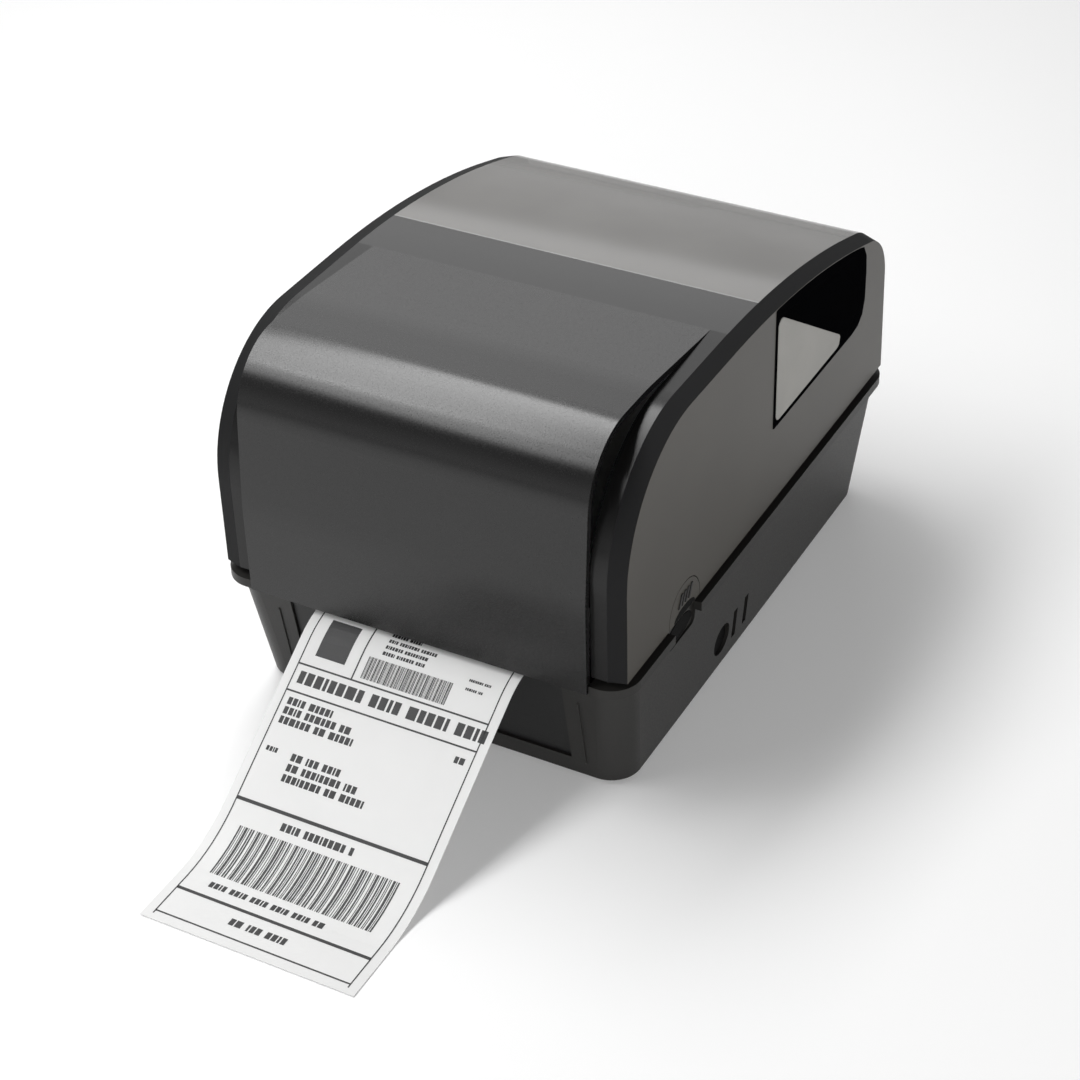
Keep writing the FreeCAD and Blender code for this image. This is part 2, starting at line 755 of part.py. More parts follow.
def make_hinges():
    """Two hinges: knuckles on the cover, brackets with their barrels in the base's notches, and the pins."""
    knuckles, brackets, pins = [], [], []
    hole = "hinge_pin_radius + running_fit"
    leaf_front = "cover_rear - hinge_leaf_inset - wall"
    for sign in ("", "-"):
        start = f"{sign}hinge_place - knuckle_length / 2"
        barrel = hinge_rod(start, "knuckle_radius", "knuckle_length")
        low = "hinge_axis_height - hinge_bridge_drop"
        bridge = box(start, leaf_front, low, "knuckle_length", "hinge_leaf_inset + wall", "knuckle_radius")
        leaf = box(start, leaf_front, low, "knuckle_length", "wall", f"hinge_leaf_top - ({low})")
        knuckles.append(cut(fuse(barrel, bridge, leaf), hinge_rod(start, hole, "knuckle_length")))
        first = f"{start} - knuckle_gap - bracket_length"
        second = f"{start} + knuckle_length + knuckle_gap"
        for place in (first, second):
            bracket_barrel = hinge_rod(place, "knuckle_radius", "bracket_length")
            pedestal = box(place, "cover_rear - knuckle_radius", "hinge_notch_floor", "bracket_length",
                           "2 * knuckle_radius", "hinge_axis_height - hinge_notch_floor")
            brackets.append(cut(fuse(bracket_barrel, pedestal), hinge_rod(place, hole, "bracket_length")))
        pins.append(hinge_rod(first, "hinge_pin_radius",
                              "knuckle_length + 2 * knuckle_gap + 2 * bracket_length"))
    sub_part("hinge_knuckles", group(*knuckles))
    sub_part("hinge_brackets", group(*brackets))
    sub_part("hinge_pins", group(*pins))


def tooth_outline(teeth, phase):
    """The points of a gear with involute flanks; phase is the angle of its first tooth."""
    pitch = number("gear_module") * teeth / 2
    base = pitch * math.cos(PRESSURE_ANGLE)
    tip = pitch + ADDENDUM * number("gear_module")
    root = pitch - DEDENDUM * number("gear_module")
    low = max(base, root)

    def half_width(radius):
        angle = math.acos(min(1, base / radius))
        involute = math.tan(PRESSURE_ANGLE) - PRESSURE_ANGLE - math.tan(angle) + angle
        return math.pi / (2 * teeth) + involute

    radii = [low + (tip - low) * step / FLANK_STEPS for step in range(FLANK_STEPS + 1)]
    flank = [(root, half_width(low))] if root < low else []
    flank += [(radius, half_width(radius)) for radius in radii]
    points = []
    for tooth in range(teeth):
        middle = phase + 2 * math.pi * tooth / teeth
        for radius, width in flank:
            points.append((radius * math.cos(middle - width), radius * math.sin(middle - width)))
        for radius, width in reversed(flank):
            points.append((radius * math.cos(middle + width), radius * math.sin(middle + width)))
    return points


def slab(points, reach):
    """A flat outline drawn out into a solid."""
    return Part.Face(Part.makePolygon(points + points[:1])).extrude(reach)


def gear(label, teeth, phase, bore, centre):
    """A spur gear of the train beside the gear plate, turning about an axis along X."""
    start = number(GEAR_START)
    width = number("gear_width")
    points = [FreeCAD.Vector(start, centre[0] + across, centre[1] + up)
              for across, up in tooth_outline(teeth, phase)]
    blank = slab(points, FreeCAD.Vector(width, 0, 0))
    hole = Part.makeCylinder(number(f"{bore} + running_fit"), width,
                             FreeCAD.Vector(start, *centre), FreeCAD.Vector(1, 0, 0))
    item = doc.addObject("Part::Feature", label)
    item.Shape = blank.cut(hole)
    sub_part(label, item)


# The idler sits behind and below the platen gear, and the motor's pinion behind the idler
IDLER_GAP = "(gear_module * (platen_teeth + idler_teeth) / 2 + mesh_slack)"
PINION_GAP = "(gear_module * (idler_teeth + pinion_teeth) / 2 + mesh_slack)"
IDLER_Y = f"(-platen_reach + sqrt({IDLER_GAP}^2 - idler_drop^2))"
IDLER_Z = "(platen_height - idler_drop)"
MOTOR_Y = f"({IDLER_Y} + sqrt({PINION_GAP}^2 - motor_drop^2))"
MOTOR_Z = f"({IDLER_Z} - motor_drop)"


def make_gear_train():
    """Three meshed gears; each gear's first tooth points into a gap of the one before it."""
    platen = (number("-platen_reach"), number("platen_height"))
    idler = (number(IDLER_Y), number(IDLER_Z))
    pinion = (number(MOTOR_Y), number(MOTOR_Z))
    platen_teeth, idler_teeth, pinion_teeth = (
        int(number(f"{name}_teeth")) for name in ("platen", "idler", "pinion"))
    to_idler = math.atan2(idler[1] - platen[1], idler[0] - platen[0])
    to_pinion = math.atan2(pinion[1] - idler[1], pinion[0] - idler[0])
    idler_phase = to_idler + math.pi + math.pi / idler_teeth
    past_tooth = (to_pinion - idler_phase) * idler_teeth / pinion_teeth
    pinion_phase = to_pinion + math.pi + math.pi / pinion_teeth + past_tooth
    gear("platen_gear", platen_teeth, to_idler, "shaft_radius", platen)
    gear("idler_gear", idler_teeth, idler_phase, "idler_pin_radius", idler)
    gear("motor_pinion", pinion_teeth, pinion_phase, "motor_shaft_radius", pinion)


def make_drive_plates():
    """The plate that carries the gear train, the plate at the platen's other end, and their bushes."""
    foot_front = "-base_bottom_front + base_wall + panel_thickness"

    def plate(rear):
        return [(foot_front, FLOOR), (rear, FLOOR), (rear, "plate_top"), ("-plate_front", "plate_top")]

    inner, outer = "plate_place", "plate_place + plate_thickness"
    bush_hole = ("circle", "-platen_reach", "platen_height", "bush_radius + running_fit")
    gear_plate = new_body()
    pad(gear_plate, "YZ", plate("-gear_plate_rear"), f"-({outer})", f"-{inner}")
    pin_hole = ("circle", IDLER_Y, IDLER_Z, "idler_pin_radius + running_fit")
    shaft_hole = ("circle", MOTOR_Y, MOTOR_Z, "2 * motor_shaft_radius")
    for hole in (bush_hole, pin_hole, shaft_hole):
        pocket(gear_plate, "YZ", hole, f"-({outer}) - wall", f"-{inner} + wall")
    sub_part("gear_plate", gear_plate)
    bearing_plate = new_body()
    pad(bearing_plate, "YZ", plate("-bearing_plate_rear"), inner, outer)
    pocket(bearing_plate, "YZ", bush_hole, f"{inner} - wall", f"{outer} + wall")
    sub_part("bearing_plate", bearing_plate)
    bushes = []
    for start in (f"-({outer}) - bush_stand", f"{inner} - bush_stand"):
        length = "plate_thickness + 2 * bush_stand"
        blank = rod("X", start, "-platen_reach", "platen_height", "bush_radius", length)
        bore = rod("X", start, "-platen_reach", "platen_height", "shaft_radius + running_fit", length)
        bushes.append(cut(blank, bore))
    sub_part("platen_bushes", group(*bushes))


def make_platen():
    """The rubber roller on its steel shaft."""
    right_end = "plate_place + plate_thickness + shaft_stand"
    shaft = rod("X", f"{GEAR_START} - shaft_stand", "-platen_reach", "platen_height", "shaft_radius",
                f"{right_end} - {GEAR_START} + shaft_stand")
    sub_part("platen_shaft", shaft)
    start = "-platen_length / 2"
    sleeve = rod("X", start, "-platen_reach", "platen_height", "platen_radius", "platen_length")
    bore = rod("X", start, "-platen_reach", "platen_height", "shaft_radius + running_fit", "platen_length")
    sub_part("platen_roller", cut(sleeve, bore))


def make_motor():
    """The stepper motor on the gear plate, its shaft, and the pin that the idler turns on."""
    can = rod("X", "-plate_place", MOTOR_Y, MOTOR_Z, "motor_radius", "motor_length")
    bore = rod("X", "-plate_place", MOTOR_Y, MOTOR_Z, "motor_shaft_radius + running_fit", "motor_length / 2")
    sub_part("stepper_motor", cut(can, bore))
    shaft_start = f"({GEAR_START} - shaft_stand / 2)"
    sub_part("motor_shaft", rod("X", shaft_start, MOTOR_Y, MOTOR_Z, "motor_shaft_radius",
                                f"-plate_place + motor_length / 2 - shaft_stand - {shaft_start}"))
    sub_part("idler_pin", rod("X", shaft_start, IDLER_Y, IDLER_Z, "idler_pin_radius",
                              f"-plate_place - {shaft_start}"))


def make_print_head():
    """The print head over the platen, its finned heat sink and the bracket that holds both to the shell."""
    head_bottom = "(platen_height + platen_radius + head_gap)"
    sub_part("print_head", box("-head_width / 2", "-platen_reach - head_depth / 2", head_bottom,
                               "head_width", "head_depth", "head_height"))
    sink_bottom = f"({head_bottom} + head_height)"
    sink = box("-head_width / 2", "-platen_reach - heat_sink_depth / 2", sink_bottom,
               "head_width", "heat_sink_depth", "heat_sink_height")
    gaps = []
    for step in range(1, int(number("fin_count"))):
        height = f"{sink_bottom} + {step} * heat_sink_height / fin_count - fin_gap / 2"
        gaps.append(box("-head_width / 2", "-platen_reach + heat_sink_depth / 2 - fin_depth", height,
                        "head_width", "fin_depth", "fin_gap"))
    sub_part("heat_sink", cut(sink, *gaps))
    bracket = box("-head_bracket_width / 2", "-shell_front + wall", f"{sink_bottom} + heat_sink_height",
                  "head_bracket_width", "shell_front - wall - platen_reach + heat_sink_depth / 2",
                  "head_bracket_height")
    sub_part("head_bracket", bracket)


def web_path(lift):
    """The web's path from the roll to the floor in front, raised by a lift."""
    room = "(roll_radius + clearance)"
    run = "(roll_place + web_bend)"
    rise = f"(roll_height - {WEB_HEIGHT})"
    slope = f"(atan2({rise}; {run}) + asin({room} / sqrt({run}^2 + {rise}^2)))"
    return [
        (f"roll_place - {room} * sin({slope})", f"roll_height + {room} * cos({slope}) + {lift}"),
        ("-web_bend", f"{WEB_HEIGHT} + {lift}", "exit_radius"),
        ("-web_exit", f"{WEB_HEIGHT} + {lift}", "exit_radius"),
        ("-web_landing", f"clearance + {lift}", "landing_radius"),
        ("-web_end", f"clearance + {lift}"),
    ]


def make_label_web():
    body = new_body()
    outline = web_path("0") + web_path("web_thickness")[::-1]
    pad(body, "YZ", outline, "-media_width / 2", "media_width / 2")
    sub_part("label_web", body)


def tube(radius, bore, start, length):
    blank = rod("X", start, "roll_place", "roll_height", radius, length)
    return cut(blank, rod("X", start, "roll_place", "roll_height", bore, length))


def make_label_roll():
    start = "-media_width / 2"
    sub_part("label_roll", tube("roll_radius", "core_radius + core_wall + running_fit", start, "media_width"))
    sub_part("roll_core", tube("core_radius + core_wall", "core_radius", start, "media_width"))


# The guides' foot stands just clear of the rail, and their racks run at the same height
GUIDE_BOTTOM = f"({FLOOR} + rail_height + clearance)"
GUIDE_FACE = "(media_width / 2 + guide_gap)"


def make_media_guides():
    """Two guides with bosses in the roll's core."""
    body = new_body()
    plate = [
        ("roll_place - guide_foot / 2", GUIDE_BOTTOM),
        ("roll_place + guide_foot / 2", GUIDE_BOTTOM),
        ("roll_place + guide_foot / 2", "guide_shoulder", "guide_round"),
        ("roll_place + guide_neck / 2", "guide_top", "guide_round"),
        ("roll_place - guide_neck / 2", "guide_top", "guide_round"),
        ("roll_place - guide_foot / 2", "guide_shoulder", "guide_round"),
    ]
    pad(body, "YZ", plate, GUIDE_FACE, f"{GUIDE_FACE} + guide_thickness")
    boss = ("circle", "roll_place", "roll_height", "boss_radius")
    pad(body, "YZ", boss, f"{GUIDE_FACE} - boss_length", GUIDE_FACE)
    sub_part("right_media_guide", body)
    sub_part("left_media_guide", mirrored(body))


def rack_shape():
    """A rack whose teeth point to the rear, with a gap at X = 0; it ends at the right guide."""
    module = number("gear_module")
    pitch_line = number("roll_place - gear_module * guide_teeth / 2 - mesh_slack")
    step = math.pi * module
    tip_half = step / 4 - ADDENDUM * module * math.tan(PRESSURE_ANGLE)
    root_half = step / 4 + DEDENDUM * module * math.tan(PRESSURE_ANGLE)
    tip_line = pitch_line + ADDENDUM * module
    root_line = pitch_line - DEDENDUM * module
    back_line = pitch_line - number("rack_back")
    left, right = number("-rack_reach"), number(GUIDE_FACE)
    points = [(right, root_line), (right, back_line), (left, back_line), (left, root_line)]
    count = int(number("rack_reach") / step)
    for tooth in range(-count, count):
        middle = (tooth + 0.5) * step
        points += [(middle - root_half, root_line), (middle - tip_half, tip_line)]
        points += [(middle + tip_half, tip_line), (middle + root_half, root_line)]
    corners = [FreeCAD.Vector(x, y, number(GUIDE_BOTTOM)) for x, y in points]
    return slab(corners, FreeCAD.Vector(0, 0, number("rack_height")))


def make_guide_racks():
    """A rack on each guide, and the pinion between them on its post, so that the guides stay centred."""
    right = doc.addObject("Part::Feature", "right_guide_rack")
    right.Shape = rack_shape()
    sub_part("right_guide_rack", right)
    left = doc.addObject("Part::Feature", "left_guide_rack")
    left.Shape = rack_shape()
    centre = FreeCAD.Vector(0, number("roll_place"), 0)
    half_turn = FreeCAD.Rotation(FreeCAD.Vector(0, 0, 1), 180)
    left.Placement = FreeCAD.Placement(FreeCAD.Vector(), half_turn, centre)
    sub_part("left_guide_rack", left)
    bottom = number(GUIDE_BOTTOM)
    points = [FreeCAD.Vector(x, y + centre.y, bottom)
              for x, y in tooth_outline(int(number("guide_teeth")), math.pi / 2)]
    height = number("rack_height")
    blank = slab(points, FreeCAD.Vector(0, 0, height))
    bore = Part.makeCylinder(number("post_radius + running_fit"), height, FreeCAD.Vector(0, centre.y, bottom))
    pinion = doc.addObject("Part::Feature", "guide_pinion")
    pinion.Shape = blank.cut(bore)
    sub_part("guide_pinion", pinion)
    rail = box("-rail_length / 2", "roll_place - rail_width / 2", FLOOR,
               "rail_length", "rail_width", "rail_height")
    post = rod("Z", "0", "roll_place", f"{FLOOR} + rail_height", "post_radius", "rack_height + clearance")
    sub_part("guide_rail", fuse(rail, post))


def make_web_supports():
    """The sensor bar with its sensor, and the rod that turns the web towards the platen."""
    span = "2 * plate_place"
    bar = box("-plate_place", "-sensor_bar_reach", "platen_height",
              span, "sensor_bar_depth", "sensor_bar_height")
    sub_part("sensor_bar", bar)
    sensor_bottom = "platen_height + sensor_bar_height"
    sensor = box("-sensor_size / 2", "-sensor_bar_reach", sensor_bottom, "sensor_size", "sensor_bar_depth",
                 f"{WEB_HEIGHT} - 3 * clearance - ({sensor_bottom})")
    sub_part("gap_sensor", sensor)
    sub_part("web_guide_rod", rod("X", "-plate_place", "-web_bend", f"{WEB_HEIGHT} - clearance - rod_radius",
                                  "rod_radius", span))


def make_electronics():
    """The circuit board on its stand-offs, with the sockets and the switch that show in the rear wall."""
    board = box("-board_width / 2", "board_front", f"{FLOOR} + standoff_height",
                "board_width", "board_depth", "board_thickness")
    sub_part("main_board", board)
    standoffs = []
    for x in ("-board_width / 2 + standoff_inset", "board_width / 2 - standoff_inset"):
        for y in ("board_front + standoff_inset", "board_front + board_depth - standoff_inset"):
            standoffs.append(hexagon(x, y, FLOOR, "standoff_radius", "standoff_height"))
    sub_part("board_standoffs", group(*standoffs))
    depth = f"{CONNECTOR_REAR} - {CONNECTOR_FRONT}"
    jack = new_body()
    pad(jack, "XZ", rectangle("jack_place - jack_width / 2", "jack_place + jack_width / 2",
                              BOARD_TOP, f"{BOARD_TOP} + jack_height"), CONNECTOR_FRONT, CONNECTOR_REAR)
    pocket(jack, "XZ", ("circle", "jack_place", f"{BOARD_TOP} + jack_height / 2", "jack_bore"),
           f"{CONNECTOR_FRONT} + port_back", f"{CONNECTOR_REAR} + wall")
    sub_part("power_jack", jack)
    usb = box("usb_place - usb_width / 2", CONNECTOR_FRONT, BOARD_TOP, "usb_width", depth, "usb_height")
    usb_hollow = box("usb_place - usb_width / 2 + usb_wall", f"{CONNECTOR_FRONT} + port_back",
                     f"{BOARD_TOP} + usb_wall",
                     "usb_width - 2 * usb_wall", depth, "usb_height - 2 * usb_wall")
    sub_part("data_port", cut(usb, usb_hollow))
    frame = box("switch_place - switch_width / 2", CONNECTOR_FRONT, BOARD_TOP,
                "switch_width", depth, "switch_height")
    frame_hollow = box("switch_place - switch_width / 2 + switch_wall", f"{CONNECTOR_REAR} - switch_depth",
                       f"{BOARD_TOP} + switch_wall", "switch_width - 2 * switch_wall", "2 * switch_depth",
                       "switch_height - 2 * switch_wall")
    middle = f"({BOARD_TOP} + switch_height / 2)"
    pivot_place = f"({CONNECTOR_REAR} - pivot_inset)"
    pivot_hole = rod("X", "switch_place - switch_width / 2", pivot_place, middle,
                     "pivot_radius + running_fit", "switch_width")
    sub_part("switch_frame", cut(frame, frame_hollow, pivot_hole))
    rocker = new_body()
    profile = [
        (f"{CONNECTOR_REAR} - switch_depth / 2", f"{middle} - rocker_height / 2"),
        (f"{CONNECTOR_REAR} + rocker_stand", f"{middle} - rocker_height / 2"),
        (f"{CONNECTOR_REAR} + rocker_stand - rocker_dip", middle),
        (f"{CONNECTOR_REAR} + rocker_stand", f"{middle} + rocker_height / 2"),
        (f"{CONNECTOR_REAR} - switch_depth / 2", f"{middle} + rocker_height / 2"),
    ]
    half = "(switch_width / 2 - switch_wall - rocker_gap)"
    pad(rocker, "YZ", profile, f"switch_place - {half}", f"switch_place + {half}")
    pivot = rod("X", "switch_place - switch_width / 2 + clearance", pivot_place, middle,
                "pivot_radius", "switch_width - 2 * clearance")
    sub_part("power_rocker", fuse(rocker, pivot))


def check_and_write():
    """Stop on any failed object, then write one file for each sub-part."""
    doc.recompute()
    failed = [item.Label for item in doc.Objects if "Invalid" in item.State or "Error" in item.State]
    for item in sub_parts:
        if item.Shape.isNull() or not item.Shape.isValid() or not item.Shape.Solids:
            failed.append(item.Label)
    if failed:
        raise RuntimeError("failed: " + ", ".join(sorted(set(failed))))
    os.makedirs("parts", exist_ok=True)
    for item in sub_parts:
        item.Shape.exportStep(f"parts/{item.Label}.step")
        size = item.Shape.BoundBox
        print(f"{item.Label}: {len(item.Shape.Solids)} solids, {item.Shape.Volume / 1000:.2f} cm3, "
              f"x {size.XMin:.1f} {size.XMax:.1f} y {size.YMin:.1f} {size.YMax:.1f} "
              f"z {size.ZMin:.1f} {size.ZMax:.1f}")


def main():
    make_front_shell()
    make_end_panels()
    make_side_panes()
    make_top_window()
    make_rear_panel()
    make_cover_rib()
    make_base_housing()
    make_front_panel()
    make_feet_and_screws()
    make_release_buttons()
    make_hinges()
    make_gear_train()
    make_drive_plates()
    make_platen()
    make_motor()
    make_print_head()
    make_label_web()
    make_label_roll()
    make_media_guides()
    make_guide_racks()
    make_web_supports()
    make_electronics()
    check_and_write()


main()
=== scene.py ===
import math

import bmesh
import bpy
from mathutils import Matrix, Vector


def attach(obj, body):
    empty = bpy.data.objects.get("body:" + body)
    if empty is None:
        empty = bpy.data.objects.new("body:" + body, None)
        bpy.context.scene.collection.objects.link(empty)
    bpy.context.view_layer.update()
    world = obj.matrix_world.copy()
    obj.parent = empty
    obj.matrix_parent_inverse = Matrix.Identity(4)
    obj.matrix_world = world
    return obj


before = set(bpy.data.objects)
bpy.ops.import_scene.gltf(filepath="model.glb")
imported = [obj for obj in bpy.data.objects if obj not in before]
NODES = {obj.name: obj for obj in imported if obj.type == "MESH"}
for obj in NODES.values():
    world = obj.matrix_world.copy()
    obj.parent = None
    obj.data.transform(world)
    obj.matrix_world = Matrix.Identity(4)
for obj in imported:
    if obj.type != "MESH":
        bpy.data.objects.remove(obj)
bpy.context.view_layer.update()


# Materials

# The roll's middle in Y and Z, the seam across the window in Y, and the zones of an end panel in X
ROLL_PLACE = (0.038, 0.072)
RING_PITCH = 0.0012
SEAM_PLACE, SEAM_WIDTH = 0.0066, 0.0009
RIM_START, BEVEL_START, SIDE_FACE, SIDE_END = 0.070, 0.0919, 0.0998, 0.101

SHELL_COLOR = (0.008, 0.0078, 0.0079)
SHELL_ROUGHNESS, SHELL_GLOSS = 0.24, 0.52
WINDOW_ROUGHNESS = 0.14
SIDE_COLOR = (0.058, 0.053, 0.044)
RIM_ROUGHNESS, BEVEL_ROUGHNESS, SIDE_ROUGHNESS = 0.22, 0.75, 0.36
PANEL_GLOSS = 0.32
LABEL_COLOR = (0.8, 0.8, 0.795)


def new_material(name, color, roughness, metallic=0.0):
    """A material with its plain values set, its node tree, and object coordinates for its textures."""
    mat = bpy.data.materials.new(name)
    mat.use_nodes = True
    tree = mat.node_tree
    shader = tree.nodes["Principled BSDF"]
    shader.inputs["Base Color"].default_value = (*color, 1)
    shader.inputs["Roughness"].default_value = roughness
    shader.inputs["Metallic"].default_value = metallic
    mat.diffuse_color = (*color, 1)
    coords = tree.nodes.new("ShaderNodeTexCoord")
    return mat, tree, shader, coords.outputs["Object"]


def noise(tree, where, size, detail=2.0, stretch=(1, 1, 1)):
    """Noise with features of a real size in metres, stretched along an axis if wanted."""
    mapping = tree.nodes.new("ShaderNodeMapping")
    mapping.inputs["Scale"].default_value = stretch
    tree.links.new(where, mapping.inputs["Vector"])
    node = tree.nodes.new("ShaderNodeTexNoise")
    node.inputs["Scale"].default_value = 1 / size
    node.inputs["Detail"].default_value = detail
    tree.links.new(mapping.outputs["Vector"], node.inputs["Vector"])
    return node.outputs["Fac"]


def spread(tree, value, low, high):
    """Stretch a noise value to run between two numbers."""
    node = tree.nodes.new("ShaderNodeMapRange")
    node.inputs["From Min"].default_value = 0.3
    node.inputs["From Max"].default_value = 0.7
    node.inputs["To Min"].default_value = low
    node.inputs["To Max"].default_value = high
    tree.links.new(value, node.inputs["Value"])
    return node.outputs["Result"]


def shade(tree, value, color, amount):
    """Vary a colour by a share either way."""
    node = tree.nodes.new("ShaderNodeMix")
    node.data_type = "RGBA"
    low, high = 1 - amount, 1 + amount
    node.inputs["A"].default_value = (*(c * low for c in color), 1)
    node.inputs["B"].default_value = (*(c * high for c in color), 1)
    tree.links.new(spread(tree, value, 0, 1), node.inputs["Factor"])
    return node.outputs["Result"]


def rough_surface(tree, shader, value, depth):
    """Raise and lower the surface by a value."""
    node = tree.nodes.new("ShaderNodeBump")
    node.inputs["Strength"].default_value = 0.5
    node.inputs["Distance"].default_value = depth
    tree.links.new(value, node.inputs["Height"])
    tree.links.new(node.outputs["Normal"], shader.inputs["Normal"])


def moulded(name, color, roughness, grain=0.0006, depth=0.00002, gloss=0.5):
    """Moulded plastic with a fine grain and a slow change of tone."""
    mat, tree, shader, where = new_material(name, color, roughness)
    fine = noise(tree, where, grain)
    slow = noise(tree, where, 0.05)
    tree.links.new(shade(tree, slow, color, 0.06), shader.inputs["Base Color"])
    tree.links.new(spread(tree, fine, roughness - 0.05, roughness + 0.05), shader.inputs["Roughness"])
    rough_surface(tree, shader, fine, depth)
    shader.inputs["Specular IOR Level"].default_value = gloss
    return mat


def metal(name, color, roughness, stretch=(1, 1, 1), grain=0.0008):
    """Metal with a brushed or rolled grain."""
    mat, tree, shader, where = new_material(name, color, roughness, 1.0)
    lines = noise(tree, where, grain, 3.0, stretch)
    tree.links.new(shade(tree, lines, color, 0.1), shader.inputs["Base Color"])
    tree.links.new(spread(tree, lines, roughness - 0.08, roughness + 0.1), shader.inputs["Roughness"])
    rough_surface(tree, shader, lines, 0.00001)
    return mat


def smoked(name, color, roughness, opacity, gloss=0.5):
    """Smoked clear plastic: part of the light goes straight through."""
    mat, tree, shader, where = new_material(name, color, roughness)
    slow = noise(tree, where, 0.04)
    tree.links.new(shade(tree, slow, color, 0.08), shader.inputs["Base Color"])
    fine = noise(tree, where, 0.003)
    tree.links.new(spread(tree, fine, roughness, roughness + 0.03), shader.inputs["Roughness"])
    shader.inputs["Alpha"].default_value = opacity
    shader.inputs["Specular IOR Level"].default_value = gloss
    return mat


def zones(tree, value, low, high, stops):
    """Bands of plain colour along a value: each stop is a place from low to high, and a colour or number."""
    span = tree.nodes.new("ShaderNodeMapRange")
    span.inputs["From Min"].default_value = low
    span.inputs["From Max"].default_value = high
    tree.links.new(value, span.inputs["Value"])
    ramp = tree.nodes.new("ShaderNodeValToRGB")
    ramp.color_ramp.interpolation = "CONSTANT"
    while len(ramp.color_ramp.elements) > 1:
        ramp.color_ramp.elements.remove(ramp.color_ramp.elements[-1])
    for i, (place, shown) in enumerate(stops):
        color = shown if isinstance(shown, tuple) else (shown, shown, shown)
        share = (place - low) / (high - low)
        stop = ramp.color_ramp.elements.new(share) if i else ramp.color_ramp.elements[0]
        stop.position = share
        stop.color = (*color, 1)
    tree.links.new(span.outputs["Result"], ramp.inputs["Fac"])
    return ramp.outputs["Color"]


def axis(tree, where, letter):
    """One axis of the object coordinates."""
    split = tree.nodes.new("ShaderNodeSeparateXYZ")
    tree.links.new(where, split.inputs["Vector"])
    return split.outputs[letter]


def varied(tree, where, color):
    """Multiply a colour by a slow change of tone."""
    mix = tree.nodes.new("ShaderNodeMix")
    mix.data_type = "RGBA"
    mix.blend_type = "MULTIPLY"
    mix.inputs["Factor"].default_value = 1.0
    tree.links.new(color, mix.inputs["A"])
    tree.links.new(shade(tree, noise(tree, where, 0.05), (1, 1, 1), 0.06), mix.inputs["B"])
    return mix.outputs["Result"]


def bordered_window(name, border_color, seam_color, smoke_color, opacity):
    """The smoked window: its front border is opaque like the shell, and a pale seam line ends it."""
    mat, tree, shader, where = new_material(name, smoke_color, WINDOW_ROUGHNESS)
    along = axis(tree, where, "Y")
    low, high = -0.05, 0.05
    seam_end = SEAM_PLACE + SEAM_WIDTH
    paint = [(low, border_color), (SEAM_PLACE, seam_color), (seam_end, smoke_color)]
    clear = [(low, 1.0), (seam_end, opacity)]
    gloss = [(low, SHELL_ROUGHNESS), (seam_end, WINDOW_ROUGHNESS)]
    tree.links.new(varied(tree, where, zones(tree, along, low, high, paint)), shader.inputs["Base Color"])
    tree.links.new(zones(tree, along, low, high, clear), shader.inputs["Alpha"])
    tree.links.new(zones(tree, along, low, high, gloss), shader.inputs["Roughness"])
    rough_surface(tree, shader, noise(tree, where, 0.0006), 0.000006)
    shader.inputs["Specular IOR Level"].default_value = SHELL_GLOSS
    return mat


def paper(name, color):
    """Paper or card with fine fibres."""
    mat, tree, shader, where = new_material(name, color, 0.55)
    fibre = noise(tree, where, 0.0005, 4.0)
    tree.links.new(shade(tree, noise(tree, where, 0.02), color, 0.012), shader.inputs["Base Color"])
    tree.links.new(spread(tree, fibre, 0.5, 0.62), shader.inputs["Roughness"])
    rough_surface(tree, shader, fibre, 0.000008)
    return mat


def wound(name, color, edge_color):
    """A roll of paper: plain round the outside, and fine rings on its ends."""
    mat, tree, shader, where = new_material(name, color, 0.6)
    centre = tree.nodes.new("ShaderNodeVectorMath")
    centre.operation = "SUBTRACT"
    centre.inputs[1].default_value = (0, ROLL_PLACE[0], ROLL_PLACE[1])
    tree.links.new(where, centre.inputs[0])
    flat = tree.nodes.new("ShaderNodeVectorMath")
    flat.operation = "MULTIPLY"
    flat.inputs[1].default_value = (0, 1, 1)
    tree.links.new(centre.outputs["Vector"], flat.inputs[0])
    length = tree.nodes.new("ShaderNodeVectorMath")
    length.operation = "LENGTH"
    tree.links.new(flat.outputs["Vector"], length.inputs[0])
    wave = tree.nodes.new("ShaderNodeMath")
    wave.operation = "SINE"
    turns = tree.nodes.new("ShaderNodeMath")
    turns.operation = "MULTIPLY"
    turns.inputs[1].default_value = 2 * math.pi / RING_PITCH
    tree.links.new(length.outputs["Value"], turns.inputs[0])
    tree.links.new(turns.outputs["Value"], wave.inputs[0])
    mix = tree.nodes.new("ShaderNodeMix")
    mix.data_type = "RGBA"
    mix.inputs["A"].default_value = (*edge_color, 1)
    mix.inputs["B"].default_value = (*color, 1)
    tree.links.new(spread(tree, wave.outputs["Value"], 0.3, 1), mix.inputs["Factor"])
    tree.links.new(mix.outputs["Result"], shader.inputs["Base Color"])
    return mat


